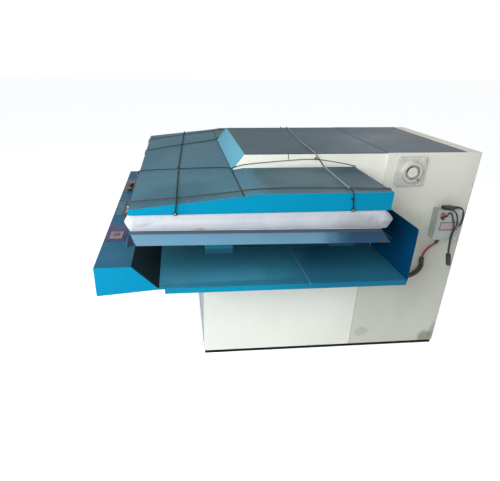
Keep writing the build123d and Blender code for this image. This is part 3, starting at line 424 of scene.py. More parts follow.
def mirrored(*patches: Patch) -> tuple[Patch, ...]:
    """Each patch, followed by its mirror image on the press's other side."""
    pairs: list[Patch] = []
    for patch in patches:
        x, y, z = patch.middle
        pairs += [patch, replace(patch, middle=(-x, y, z))]
    return tuple(pairs)


@dataclass(frozen=True)
class Finish:
    """A finish that becomes one material."""

    name: str
    colour: Colour
    roughness: float = 0.5

    def material(self) -> bpy.types.Material:
        """The finish's material, made the first time it is asked for."""
        made = bpy.data.materials.get(self.name)
        if made is None:
            made = bpy.data.materials.new(self.name)
            made.use_nodes = True
            graph = Graph(made.node_tree)
            shader = graph.add("ShaderNodeBsdfPrincipled")
            graph.add("ShaderNodeOutputMaterial", {"Surface": shader.outputs[0]})
            self.dress(graph, shader)
        return made

    def dress(self, graph: Graph, shader: bpy.types.Node) -> None:
        """Sets the shader's sockets."""
        raise NotImplementedError

    def patched(self, graph: Graph, colour: Any, patches: Iterable[Patch]) -> Any:
        """The colour with patches laid over it, one after the other."""
        for patch in patches:
            colour = graph.colour(patch.mask(graph), colour, patch.colour)
        return colour


@dataclass(frozen=True)
class Paint(Finish):
    """Sprayed sheet metal, with painted light and shade on the faces that face up."""

    # Colour of the faces that face up: painted shade on the covers, painted light on the tray
    # floor.
    top: Colour | None = None
    drift: float = 0.12
    wear: float = 0.5
    bare: Colour = (0.30, 0.31, 0.31)
    dust: float = 0.18
    dust_colour: Colour = (0.42, 0.43, 0.42)
    scuff: float = 0.25
    specular: float = 0.06
    patches: tuple[Patch, ...] = ()

    def dress(self, graph: Graph, shader: bpy.types.Node) -> None:
        """Paint, its film, dust, worn edges and patches, with painted light and shade on the top
        faces.
        """
        spray = SPRAY.put(graph, Peel_Scale=420.0, Drift_Scale=1.7)
        edge = EDGE.put(graph, Radius=0.0016, Scale=70.0)
        dust = DUST.put(graph, Scale=5.0, Amount=self.dust)["Mask"]
        scuff = SCUFFS.put(graph, Scale=16.0, Amount=self.scuff)["Mask"]
        colour: Any = self.colour
        # The top colour paints light and shade where the surface faces up.
        if self.top is not None:
            up = graph.parts(graph.facing())[2]
            colour = graph.colour(graph.span(up, 0.5, 0.85), self.colour, self.top)
        colour = graph.colour(graph.times(spray["Tone"], self.drift), colour, BLACK)
        colour = graph.colour(dust, colour, self.dust_colour)
        colour = graph.colour(scuff, colour, self.dust_colour)
        colour = self.patched(graph, colour, self.patches)
        colour = graph.colour(graph.times(edge["Mask"], self.wear), colour, self.bare)
        rough = graph.plus(self.roughness, graph.times(spray["Tone"], 0.08))
        rough = graph.plus(rough, graph.times(dust, 0.6), clamp=True)
        normal = graph.bump(spray["Height"], 0.0004, 0.25, edge["Normal"])
        graph.give(shader, {"Base Color": colour, "Roughness": rough, "Normal": normal})
        graph.give(shader, {"Specular IOR Level": self.specular})


@dataclass(frozen=True)
class Steel(Finish):
    """Bare or cast metal."""

    metallic: float = 1.0
    lines: float = 420.0
    depth: float = 0.0003
    stain: Colour = (0.16, 0.15, 0.13)
    stained: float = 0.25

    def dress(self, graph: Graph, shader: bpy.types.Node) -> None:
        """Brushed lines, stains and soft edges."""
        brushed = BRUSHED.put(graph, Scale=self.lines)
        edge = EDGE.put(graph, Radius=0.001, Scale=90.0)
        stain = graph.times(brushed["Tone"], self.stained)
        rough = graph.plus(self.roughness, graph.times(brushed["Height"], 0.15))
        colour = graph.colour(stain, self.colour, self.stain)
        normal = graph.bump(brushed["Height"], self.depth, 0.3, edge["Normal"])
        graph.give(shader, {"Base Color": colour, "Roughness": rough, "Normal": normal})
        graph.give(shader, {"Metallic": self.metallic})


@dataclass(frozen=True)
class Moulded(Finish):
    """Moulded plastic or rubber, with a fine grain and rubbed edges."""

    grain: float = 900.0
    depth: float = 0.0002
    rubbed: Colour = (0.5, 0.5, 0.5)
    wear: float = 0.25
    drift: float = 0.15
    patches: tuple[Patch, ...] = ()

    def dress(self, graph: Graph, shader: bpy.types.Node) -> None:
        """Grain, a drift of tone, rubbed edges and patches."""
        spray = SPRAY.put(graph, Peel_Scale=self.grain, Drift_Scale=14.0)
        edge = EDGE.put(graph, Radius=0.0009, Scale=120.0)
        colour = graph.colour(graph.times(spray["Tone"], self.drift), self.colour, BLACK)
        colour = self.patched(graph, colour, self.patches)
        colour = graph.colour(graph.times(edge["Mask"], self.wear), colour, self.rubbed)
        rough = graph.plus(self.roughness, graph.times(spray["Tone"], 0.12))
        normal = graph.bump(spray["Height"], self.depth, 0.4, edge["Normal"])
        graph.give(shader, {"Base Color": colour, "Roughness": rough, "Normal": normal})


@dataclass(frozen=True)
class Cloth(Finish):
    """Woven or felted cloth on the piece's own UV map."""

    threads: float = 700.0
    depth: float = 0.0003
    shade: Colour = (0.6, 0.6, 0.6)
    patches: tuple[Patch, ...] = ()

    def dress(self, graph: Graph, shader: bpy.types.Node) -> None:
        """Weave, slubs, soft blotches and stains, with a little sheen."""
        weave = WEAVE.put(graph, Threads=self.threads)
        blotch = graph.noise(graph.place(), 7.0, 5.0, 0.6, 0.3)
        share = graph.span(blotch, 0.42, 0.75, 0.0, 0.45)
        colour = graph.colour(share, self.colour, self.shade)
        thread = graph.span(weave["Tone"], 0.35, 0.7, 0.0, 0.12)
        colour = self.patched(graph, graph.colour(thread, colour, self.shade), self.patches)
        rough = graph.plus(self.roughness, graph.times(weave["Tone"], 0.08))
        normal = graph.bump(weave["Height"], self.depth, 0.6)
        graph.give(shader, {"Base Color": colour, "Roughness": rough, "Normal": normal})
        graph.give(shader, {"Sheen Weight": 0.15, "Specular IOR Level": 0.25})


@dataclass(frozen=True)
class Strand(Finish):
    """Twisted or sleeved cord and cable."""

    fleck: Colour = (0.5, 0.5, 0.5)
    flecked: float = 0.3
    scale: float = 260.0
    patches: tuple[Patch, ...] = ()

    def dress(self, graph: Graph, shader: bpy.types.Node) -> None:
        """Flecks of fibre or dust over the strand's colour."""
        place = graph.place()
        fibre = graph.noise(place, self.scale, 4.0, 0.7)
        length = graph.noise(place, 11.0, 3.0, 0.6)
        near = graph.times(graph.span(fibre, 0.45, 0.7), self.flecked)
        far = graph.span(length, 0.35, 0.75, 0.0, 0.35)
        colour = graph.colour(far, graph.colour(near, self.colour, self.fleck), self.fleck)
        colour = self.patched(graph, colour, self.patches)
        rough = graph.plus(self.roughness, graph.times(fibre, 0.15), clamp=True)
        normal = graph.bump(fibre, 0.0004, 0.5)
        graph.give(shader, {"Base Color": colour, "Roughness": rough, "Normal": normal})
        graph.give(shader, {"Specular IOR Level": 0.12})


@dataclass(frozen=True)
class Ground(Finish):
    """The studio floor: near white to the camera, and it keeps the object's shadow."""

    lift: float = 0.62

    def dress(self, graph: Graph, shader: bpy.types.Node) -> None:
        """A plain pale floor with a faint mottle, lifted towards white where it is seen."""
        mottle = graph.noise(graph.place(), 2.0, 3.0, 0.5)
        colour = graph.colour(graph.span(mottle, 0.3, 0.7, 0.0, 0.03), self.colour, (0.7, 0.7, 0.7))
        path = graph.add("ShaderNodeLightPath").outputs
        seen = graph.math("MAXIMUM", path["Is Camera Ray"], path["Is Glossy Ray"])
        lift = graph.times(seen, self.lift)
        graph.give(shader, {"Base Color": colour, "Roughness": self.roughness})
        graph.give(shader, {"Specular IOR Level": 0.0, "Emission Strength": lift})
        graph.give(shader, {"Emission Color": (1.0, 1.0, 1.0, 1.0)})


BLUE = tint(6, 152, 200)


def wall_paint(name: str, colour: Colour, *patches: Patch, wear: float = 0.7) -> Paint:
    """The body's white paint, with its own stains, and on some parts painted light and shade in its
    colour and patches.
    """
    return Paint(
        name, colour, 0.42, drift=0.07, wear=wear, bare=(0.22, 0.23, 0.24),
        dust=0.1, dust_colour=(0.30, 0.32, 0.33), scuff=0.12, patches=patches,
    )


OLIVE = tint(112, 116, 88)
SMUDGE = tint(140, 142, 128)

# The column wall's base colour, darker than the base's white, is painted shade, and the large pale
# patch high up is painted light.
COLUMN_WALL = wall_paint(
    "column wall paint",
    tint(208, 210, 199),
    Patch((0.4, 0.640, 1.050), (0.4, 0.480, 0.380), tint(226, 227, 216), 0.9, 2.5),
    Patch((0.4, 0.850, 0.040), (0.3, 0.060, 0.060), OLIVE, 0.6, 18.0),
    Patch((0.4, 0.884, 0.085), (0.3, 0.028, 0.070), OLIVE, 0.4, 30.0),
    Patch((0.4, 0.455, 0.102), (0.3, 0.050, 0.040), SMUDGE, 0.3, 26.0),
    Patch((0.4, 0.560, 0.700), (0.3, 0.190, 0.160), SMUDGE, 0.22, 6.0),
    Patch((0.4, 0.690, 0.400), (0.3, 0.120, 0.280), SMUDGE, 0.10, 5.0),
    wear=0.25,
)
BASE_WALL = wall_paint("base wall paint", tint(234, 236, 227))
BASE_FRONT = wall_paint("base front paint", tint(164, 176, 184))
ARM_WALL = wall_paint(
    "arm wall paint",
    tint(240, 241, 230),
    Patch((0.4, 0.05, 1.035), (0.3, 0.25, 0.02), SMUDGE, 0.25, 12.0),
    wear=0.0,
)
RIM_PAINT = wall_paint("rim paint", tint(218, 214, 200))
# The rear cover is set darker than the walls, as painted shade along the rear edge.
REAR_PAINT = wall_paint("rear cover paint", tint(198, 200, 192))

TEAL = tint(34, 96, 124)
# The top colour is painted shade on the faces that face up.
HEAD_BLUE = Paint(
    "head blue paint", BLUE, 0.42, top=tint(54, 103, 121), dust=0.06,
    patches=(
        Patch((0.70, -0.56, 1.0), (0.26, 0.20, 0.06), tint(42, 86, 102), 0.7, 4.0),
        Patch((0.0, -0.3050, 1.03), (0.83, 0.0022, 0.06), tint(22, 36, 44), 0.9, clean=True),
    ),
)
# The top colour is painted shade on the faces that face up, and the dark patch at the rear is
# painted shade.
WING_BLUE = Paint(
    "wing blue paint", tint(4, 134, 172), 0.42, top=tint(58, 94, 104), dust=0.08,
    patches=(
        Patch((0.70, 0.330, 1.04), (0.50, 0.36, 0.10), tint(34, 68, 82), 0.85, 2.5),
        Patch((0.6, -0.262, 1.033), (1.2, 0.070, 0.50), tint(70, 122, 144), 0.6, 4.0),
        Patch((0.0, -0.3010, 1.03), (0.83, 0.0022, 0.06), tint(22, 36, 44), 0.9, clean=True),
        Patch((0.55, -0.03, 1.04), (0.16, 0.20, 0.02), tint(98, 116, 116), 0.35, 9.0),
    ),
)
SIDE_BLUE = Paint("head side paint", tint(0, 131, 168), 0.4, dust=0.03, scuff=0.04)
# The top colour is painted light on the tray floor, and the broad dark patch at the rear is painted
# shade.
TRAY_BLUE = Paint(
    "tray blue paint", tint(0, 130, 164), 0.36, top=tint(66, 150, 180), dust=0.04, scuff=0.08,
    patches=(
        Patch((0.66, 0.300, 0.638), (0.60, 0.48, 0.10), tint(24, 92, 120), 0.7, 2.0),
        Patch((0.770, -0.28, 0.638), (0.035, 0.60, 0.01), tint(36, 118, 146), 0.6, 9.0),
        *mirrored(
            Patch((0.6, -0.004, 0.638), (0.21, 0.0022, 0.004), tint(110, 160, 166), 0.8, clean=True)
        ),
    ),
)
# The top colour is painted shade on the faces that face up.
CONSOLE_BLUE = Paint(
    "console blue paint", tint(0, 131, 170), 0.4, top=tint(26, 92, 120), dust=0.04, scuff=0.08,
    patches=(
        Patch((0.0, -0.690, 0.69), (0.7928, 0.0572, 0.06), tint(38, 58, 62), 1.0, clean=True),
    ),
)
WING_NAVY = Paint("tray wing paint", tint(2, 57, 92), 0.42, dust=0.03, scuff=0.1)
SLATE = Paint(
    "cover slate paint", tint(60, 85, 95), 0.44, dust=0.06, dust_colour=(0.2, 0.22, 0.23),
    patches=(Patch((-0.017, 0.142, 1.100), (0.010, 0.010, 0.010), tint(12, 14, 16), 1.0, 80.0),),
)
# The darker patch at the rear of the column top is painted shade.
SLATE_DARK = Paint(
    "column slate paint", tint(52, 74, 88), 0.44, dust=0.04, dust_colour=(0.2, 0.22, 0.23),
    patches=(Patch((0.25, 0.80, 1.100), (0.5, 0.22, 0.02), tint(34, 54, 68), 0.9, 4.0),),
)
PEDESTAL_SLATE = Paint("pedestal slate paint", tint(46, 86, 104), 0.4)
NOSE_SKY = Paint("nose sky paint", tint(84, 161, 187), 0.4, dust=0.03, scuff=0.06)
# The dark fields at the rear of each side skirt and across the rear skirt are painted shade, and
# the band along each side skirt's top edge is painted shade in the gap under the cloth; the brown
# spot is rust.
SKIRT_PAINT = Paint(
    "skirt paint", tint(96, 138, 163), 0.4, dust=0.06, scuff=0.3,
    patches=(
        *mirrored(
            Patch((0.845, 0.300, 0.87), (0.30, 0.34, 0.20), tint(30, 60, 88), 0.9, 2.5),
            Patch((0.8095, -0.24, 0.89), (0.0075, 0.60, 0.05), tint(72, 78, 94), 0.9, clean=True),
        ),
        Patch((0.0, 0.290, 0.87), (0.808, 0.029, 0.05), tint(16, 50, 84), 1.0, clean=True),
        Patch((0.851, 0.251, 0.848), (0.014, 0.014, 0.014), tint(96, 62, 52), 0.9, 60.0),
    ),
)
# Both patches are painted shade under the skirt: the lower part of the front outriggers and the
# whole rear outrigger.
BEAM_BLUE = Paint(
    "beam blue paint", tint(22, 106, 128), 0.4,
    patches=(
        Patch((0.6, -0.394, 0.772), (0.4, 0.3, 0.0385), tint(24, 70, 88), 1.0, clean=True),
        Patch((0.6, 0.134, 0.80), (0.4, 0.10, 0.08), tint(24, 66, 84), 1.0, clean=True),
    ),
)
SKID_BLACK = Paint("skid black paint", (0.012, 0.012, 0.014), 0.5, wear=0.8)
FRAME_GREY = Paint("frame grey paint", (0.28, 0.30, 0.32), 0.45)

SCREW = Steel("dull screw steel", (0.20, 0.18, 0.19), 0.5, stained=0.5)
BRIGHT = Steel("bright steel", (0.64, 0.64, 0.61), 0.3)
PLATEN = Steel("platen aluminium", (0.78, 0.79, 0.80), 0.3, stained=0.3)
CYLINDER = Steel("cylinder aluminium", (0.70, 0.71, 0.72), 0.32)
CASTING = Steel(
    "cast housing", tint(206, 208, 200), 0.5, metallic=0.0, lines=160.0, depth=0.0012,
    stain=tint(150, 150, 140), stained=0.35,
)
HEATER = Steel("heater steel", (0.36, 0.33, 0.30), 0.4, stained=0.5)
FITTING = Steel("fitting brass", (0.30, 0.26, 0.18), 0.35)

PANELS = Moulded(
    "console panels", tint(48, 50, 46), 0.5,
    patches=(
        Patch((0.42, -0.845, 0.744), (0.14, 0.2, 0.2), tint(44, 42, 84), 1.0, clean=True),
        Patch((-0.406, -0.845, 0.744), (0.21, 0.2, 0.2), tint(70, 64, 78), 1.0, clean=True),
        Patch((-0.370, -0.838, 0.744), (0.095, 0.022, 0.2), tint(20, 18, 24), 1.0, clean=True),
        Patch((0.05, -0.870, 0.744), (0.2, 0.017, 0.2), TEAL, 1.0, clean=True),
        Patch((0.05, -0.825, 0.744), (0.085, 0.011, 0.2), tint(150, 140, 126), 0.9, clean=True),
    ),
)
SWITCH_FRAME = Moulded("switch frame plastic", tint(118, 98, 106), 0.4, rubbed=(0.5, 0.4, 0.4))
BLACK_KEYS = Moulded("black keys", (0.014, 0.014, 0.016), 0.3)
STOP_RED = Moulded("stop red plastic", tint(196, 48, 72), 0.35)
BOX_GREY = Moulded(
    "box grey plastic", tint(156, 162, 154), 0.45, drift=0.1, rubbed=(0.7, 0.72, 0.72)
)
LID_GREY = Moulded(
    "lid grey plastic", tint(172, 182, 181), 0.42, drift=0.08, rubbed=(0.75, 0.78, 0.8)
)
PLATE_DARK = Moulded("plate frame plastic", tint(112, 114, 122), 0.4)
PLATE_PALE = Moulded("plate field plastic", tint(186, 158, 164), 0.4)
GLAND_BLACK = Moulded("gland black plastic", (0.02, 0.02, 0.022), 0.45)
RUBBER = Moulded(
    "black cable rubber", (0.022, 0.023, 0.022), 0.5, grain=1400.0, rubbed=(0.25, 0.25, 0.25)
)
SLEEVE = Moulded(
    "sleeve rubber", tint(66, 64, 46), 0.62, grain=500.0, depth=0.0008, rubbed=(0.25, 0.25, 0.2),
    wear=0.5,
)
RED_SHEATH = Moulded(
    "red cable sheath", tint(150, 34, 42), 0.45, grain=1200.0, rubbed=(0.5, 0.25, 0.22)
)
# The dark patch at the upper front of each seal is painted shadow in the bore.
SEAL = Moulded(
    "bearing seal rubber", tint(150, 152, 140), 0.6,
    patches=mirrored(
        Patch((0.4365, 0.530, 1.036), (0.1, 0.026, 0.024), tint(56, 58, 46), 1.0, 30.0)
    ),
)

# Near-black paint for the sheets that stand for the shade in the skirts' open corners.
CORNER_SHADE_BLACK = Paint("corner shade paint", tint(18, 30, 42), 0.6, wear=0.3, dust=0.02, scuff=0.05)

RUST = tint(178, 124, 62)
COTTON = Cloth(
    "cover cotton", tint(183, 188, 195), 0.85, shade=tint(160, 165, 175),
    patches=(
        Patch((0.83, -0.470, 0.905), (0.06, 0.024, 0.012), RUST, 0.9, 60.0),
        Patch((0.83, -0.425, 0.901), (0.06, 0.014, 0.006), RUST, 0.8, 80.0),
        # The grey field at the rear of the near side is painted shade; the rust spots are stains.
        Patch((0.83, 0.180, 0.915), (0.06, 0.15, 0.05), tint(146, 148, 154), 0.7, 9.0),
    ),
)
FELT = Cloth(
    "pad felt", (0.74, 0.70, 0.62), 0.95, threads=90.0, depth=0.0008, shade=(0.62, 0.58, 0.5)
)
WOOL = Cloth(
    "insulation wool", (0.70, 0.64, 0.48), 0.95, threads=60.0, depth=0.001, shade=(0.5, 0.44, 0.3)
)
STITCH = Strand("stitch thread", (0.66, 0.67, 0.70), 0.8, fleck=(0.4, 0.4, 0.42))
DARK_CORD = Strand(
    "dark cord", tint(36, 44, 48), 0.8, fleck=tint(78, 76, 70),
    # The pale stretch along the arm's edge is painted light on the cord.
    patches=(Patch((0.395, 0.0, 1.066), (0.02, 0.28, 0.022), tint(104, 102, 92), 1.0, clean=True),),
)
BROWN_CORD = Strand("brown cord", tint(66, 62, 58), 0.8, fleck=tint(104, 94, 80))
PALE_CORD = Strand(
    "pale cord", tint(150, 156, 158), 0.8, fleck=tint(96, 92, 88),
    # Both dark patches are painted shade where the cord runs down a side.
    patches=(
        Patch((0.83, 0.11, 1.00), (0.05, 0.05, 0.055), tint(34, 42, 48), 1.0, clean=True),
        Patch((0.41, 0.10, 1.05), (0.03, 0.05, 0.05), tint(44, 52, 56), 1.0, 30.0),
    ),
)

NODE_FINISH: dict[str, Finish] = {
    "skids": SKID_BLACK, "base_frame": FRAME_GREY, "base_sides": BASE_WALL,
    "base_front": BASE_FRONT, "tray_front": TRAY_BLUE, "tray_rear": TRAY_BLUE,
    "tray_bearers": TRAY_BLUE, "tray_wings": WING_NAVY, "console_housing": CONSOLE_BLUE,
    "console_brackets": CONSOLE_BLUE, "console_panels": PANELS, "switch_frame": SWITCH_FRAME,
    "key_front": BLACK_KEYS, "key_rear": BLACK_KEYS, "palm_button_left": BLACK_KEYS,
    "palm_button_right": BLACK_KEYS, "lower_platen": PLATEN, "heating_elements": HEATER,
    "bed_pan": FRAME_GREY, "bed_skirts": SKIRT_PAINT, "bed_beams": BEAM_BLUE,
    "pedestal": PEDESTAL_SLATE, "column_plates": COLUMN_WALL,
    "column_front_panel": PEDESTAL_SLATE, "column_top_cover": SLATE_DARK, "rear_rim": RIM_PAINT,
    "rear_cover": REAR_PAINT, "flange_bearings": CASTING, "bearing_inserts": BRIGHT,
    "bearing_bolts": CASTING, "cylinder_bracket": FRAME_GREY, "cylinder_body": CYLINDER,
    "cylinder_rod": BRIGHT, "lever_plates": FRAME_GREY, "pivot_shaft": BRIGHT,
    "lever_pin": BRIGHT, "arm_sides": ARM_WALL, "nose_panel": NOSE_SKY,
    "arm_top_cover": SLATE, "head_front_cover": HEAD_BLUE, "wing_covers": WING_BLUE,
    "head_sides": SIDE_BLUE, "head_ribs": FRAME_GREY, "upper_platen": PLATEN,
    "electrical_box": BOX_GREY, "box_lid": LID_GREY, "stop_button": STOP_RED,
    "start_button": BLACK_KEYS, "cable_glands": GLAND_BLACK, "pendant_connector": GLAND_BLACK,
    "cord_hooks": BRIGHT,
}


# ---------------------------------------------------------------------------------------------
# Meshes

MOST_CORNERS = 40
"""Faces with more corners than this are cut into triangles."""


def new_piece(
    name: str, mesh: bpy.types.Mesh, finish: Finish, body: Body
) -> bpy.types.Object:
    """Puts a mesh in the scene as a piece that rides on a body.

    Args:
        name: The piece's name.
        mesh: Its mesh, in the press's own axes.
        finish: Its finish.
        body: The body that it rides on.

    Returns:
        The object, at the origin.
    """
    piece = bpy.data.objects.new(name, mesh)
    bpy.context.scene.collection.objects.link(piece)
    mesh.materials.clear()
    mesh.materials.append(finish.material())
    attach(piece, body.value)
    log.info("made %s: %d faces", name, len(mesh.polygons))
    return piece


def mesh_of(
    name: str,
    points: Sequence[Sequence[float]],
    faces: Sequence[Sequence[int]],
    smooth: bool = True,
) -> bpy.types.Mesh:
    """A mesh from points and faces, with its normals turned outwards.

    Args:
        name: The mesh's name.
        points: Its vertices.
        faces: Vertex numbers of each face.
        smooth: Whether its faces shade smoothly.

    Returns:
        The mesh.
    """
    mesh = bpy.data.meshes.new(name)
    mesh.from_pydata([tuple(p) for p in points], [], [tuple(f) for f in faces])
    work = bmesh.new()
    work.from_mesh(mesh)
    wide = [face for face in work.faces if len(face.verts) > MOST_CORNERS]
    bmesh.ops.triangulate(work, faces=wide, ngon_method="BEAUTY")
    bmesh.ops.recalc_face_normals(work, faces=work.faces)
    for face in work.faces:
        face.smooth = smooth
    work.to_mesh(mesh)
    work.free()
    return mesh


def plain_mesh(piece: bpy.types.Object, name: str) -> bpy.types.Mesh:
    """The evaluated piece as a new mesh without modifiers."""
    graph = bpy.context.evaluated_depsgraph_get()
    mesh = bpy.data.meshes.new_from_object(piece.evaluated_get(graph))
    mesh.name = name
    return mesh


def band_faces(rings: int, count: int) -> list[tuple[int, ...]]:
    """Four-cornered faces between closed rings of points, each joined to the next ring."""
    faces: list[tuple[int, ...]] = []
    for ring in range(rings - 1):
        for step in range(count):
            a, b = ring * count + step, ring * count + (step + 1) % count
            faces.append((a, b, b + count, a + count))
    return faces


def tube_mesh(
    name: str,
    path: Sequence[Vector],
    radius: Callable[[float], float],
    sides: int = 16,
    lobes: int = 0,
    pitch: float = 0.0,
) -> bpy.types.Mesh:
    """A closed tube along a path, round or twisted out of lobes.

    Args:
        name: The mesh's name.
        path: The points that its middle follows.
        radius: The radius at a distance along the path.
        sides: Points round the tube.
        lobes: Strands that the section shows, or 0 for a round one.
        pitch: Length in which the strands turn once.

    Returns:
        The mesh.
    """
    points: list[Vector] = []
    run = 0.0
    side = (path[1] - path[0]).orthogonal().normalized()
    for number, middle in enumerate(path):
        before, after = path[max(number - 1, 0)], path[min(number + 1, len(path) - 1)]
        heading = (after - before).normalized()
        run += (middle - path[number - 1]).length if number else 0.0
        side = (side - heading * side.dot(heading)).normalized()
        other = heading.cross(side)
        for step in range(sides):
            angle = 2 * math.pi * step / sides
            reach = radius(run)
            if lobes:
                reach *= 0.84 + 0.16 * math.cos(lobes * (angle - 2 * math.pi * run / pitch))
            points.append(middle + (side * math.cos(angle) + other * math.sin(angle)) * reach)
    rings = len(path)
    faces = band_faces(rings, sides)
    faces.append(tuple(range(sides - 1, -1, -1)))
    faces.append(tuple(range((rings - 1) * sides, rings * sides)))
    return mesh_of(name, points, faces)


def rounded_box(low: Point, high: Point, edge: float) -> Shape:
    """The points and faces of a box with rounded edges.

    Args:
        low: Its lowest corner.
        high: Its highest corner.
        edge: The radius of its edges.

    Returns:
        Points, and faces as point numbers.
    """
    work = bmesh.new()
    bmesh.ops.create_cube(work, size=1.0)
    size = Vector(high) - Vector(low)
    middle = (Vector(high) + Vector(low)) / 2
    bmesh.ops.transform(
        work, matrix=Matrix.Translation(middle) @ Matrix.Diagonal((*size, 1.0)), verts=work.verts
    )
    bmesh.ops.bevel(
        work, geom=list(work.edges), offset=edge, segments=2, profile=0.5, affect="EDGES"
    )
    work.verts.index_update()
    points = [v.co.copy() for v in work.verts]
    faces = [tuple(v.index for v in f.verts) for f in work.faces]
    work.free()
    return points, faces


def joined(shapes: Iterable[Shape]) -> Shape:
    """Several shapes' points and faces as one list of each."""
    points: list[Vector] = []
    faces: list[tuple[int, ...]] = []
    for some_points, some_faces in shapes:
        first = len(points)
        points.extend(some_points)
        faces.extend(tuple(first + i for i in f) for f in some_faces)
    return points, faces


def trim_piece(
    name: str,
    shapes: Iterable[Shape],
    finish: Finish,
    body: Body = Body.STAND,
    smooth: bool = False,
) -> bpy.types.Object:
    """Several shapes as one piece of trim.

    Args:
        name: The piece's name.
        shapes: Points and faces of each shape.
        finish: The piece's finish.
        body: The body that it rides on.
        smooth: Whether its faces shade smoothly.

    Returns:
        The piece.
    """
    return new_piece(name, mesh_of(name, *joined(shapes), smooth=smooth), finish, body)


def ring_shape(
    middle: Point, outward: float, profile: Sequence[tuple[float, float]], steps: int = 40
) -> Shape:
    """A ring turned about an axis along X.

    Args:
        middle: A point on the axis, at the profile's zero.
        outward: 1 or -1, the way along X that the profile's depth runs.
        profile: Closed outline as (radius, depth) pairs.
        steps: Points round the ring.

    Returns:
        Points, and faces as point numbers.
    """
    points, faces = [], []
    count = len(profile)
    for step in range(steps):
        angle = 2 * math.pi * step / steps
        for radius, depth in profile:
            points.append(
                Vector(middle)
                + Vector((outward * depth, radius * math.cos(angle), radius * math.sin(angle)))
            )
    for step in range(steps):
        ahead = (step + 1) % steps
        for i in range(count):
            j = (i + 1) % count
            faces.append((step * count + i, step * count + j, ahead * count + j, ahead * count + i))
    return points, faces


# ---------------------------------------------------------------------------------------------
# Camera, cables and tie cords


@dataclass(frozen=True)
class PhotoCamera:
    """The camera that took the photograph: its place, its angles and its lens."""

    place: Point = (2.3577, -0.5397, 1.5026)
    yaw: float = 0.0981
    pitch: float = 0.4604
    roll: float = -0.0112
    picture: tuple[int, int] = (500, 481)
    focal_pixels: float = 430.4835
    centre_pixel: tuple[float, float] = (221.1313, 268.4656)
    sensor_width: float = 36.0

    def build(self) -> bpy.types.Object:
        """Makes the camera and gives it to the scene.

        Returns:
            The camera object.
        """
        ahead = Vector(
            (
                -math.cos(self.yaw) * math.cos(self.pitch),
                math.sin(self.yaw) * math.cos(self.pitch),
                -math.sin(self.pitch),
            )
        )
        level = Vector((math.sin(self.yaw), math.cos(self.yaw), 0.0))
        down = ahead.cross(level)
        right = level * math.cos(self.roll) + down * math.sin(self.roll)
        below = down * math.cos(self.roll) - level * math.sin(self.roll)
        data = bpy.data.cameras.new("photo camera")
        width, height = self.picture
        data.sensor_fit = "HORIZONTAL"
        data.sensor_width = self.sensor_width
        data.lens = self.focal_pixels / width * self.sensor_width
        data.shift_x = (width / 2 - self.centre_pixel[0]) / width
        data.shift_y = (self.centre_pixel[1] - height / 2) / width
        data.clip_end = 60.0
        camera = bpy.data.objects.new("photo camera", data)
        bpy.context.scene.collection.objects.link(camera)
        turn = Matrix((right, -below, -ahead)).transposed()
        camera.matrix_world = Matrix.Translation(Vector(self.place)) @ turn.to_4x4()
        bpy.context.scene.camera = camera
        return camera


@dataclass
class Line:
    """A cable or cord: one smooth line of real length, and the tube on it."""

    name: str
    node: str
    body: Body
    finish: Finish
    slot: Slot
    radius: float
    length: float
    far_end: str
    stiffness: str
    lay: str
    points: tuple[Point, ...]
    lobes: int = 0
    ribs: float = 0.0
    steps: int = 24
    sides: int = 16
    carries: tuple[str, ...] = ()

    def path(self) -> list[Vector]:
        """Points of the smooth line, read from its NURBS spline.

        Returns:
            The points from the exit to the far end.
        """
        data = bpy.data.curves.new(self.name + " line", "CURVE")
        data.dimensions = "3D"
        data.resolution_u = self.steps
        spline = data.splines.new("NURBS")
        spline.points.add(len(self.points) - 1)
        for control, place in zip(spline.points, self.points):
            control.co = (*place, 1.0)
        spline.order_u = 3
        spline.use_endpoint_u = True
        holder = bpy.data.objects.new(self.name + " line", data)
        bpy.context.scene.collection.objects.link(holder)
        bpy.context.view_layer.update()
        mesh = plain_mesh(holder, self.name + " line")
        found = [v.co.copy() for v in mesh.vertices]
        bpy.data.objects.remove(holder)
        bpy.data.meshes.remove(mesh)
        return found

    def thickness(self, run: float) -> float:
        """The tube's radius at a distance along it."""
        if not self.ribs:
            return self.radius
        return self.radius * (0.9 + 0.1 * math.cos(2 * math.pi * run / self.ribs))

    def build(self) -> bpy.types.Object:
        """Returns:
            The piece.
        """
        path = self.path()
        pitch = 6.0 * self.radius
        mesh = tube_mesh(self.name, path, self.thickness, self.sides, self.lobes, pitch)
        piece = new_piece(self.name, mesh, self.finish, self.body)
        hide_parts(self.node)
        return piece


def tie(
    name: str, node: str, finish: Finish, length: float, points: tuple[Point, ...],
    radius: float = 0.0022,
) -> Line:
    """A twisted tie cord over the head, knotted to a peg at each end."""
    return Line(
        name, node, Body.HEAD, finish, Slot.CORD, radius, length, "knot", "limp", "taut",
        points, lobes=3, steps=110, sides=9,
    )


def cable(
    name: str, node: str, finish: Finish, slot: Slot, radius: float, length: float,
    far_end: str, stiffness: str, points: tuple[Point, ...], **more: Any,
) -> Line:
    """A cable on the column's right side."""
    return Line(
        name, node, Body.STAND, finish, slot, radius, length, far_end, stiffness, "hanging",
        points, **more,
    )


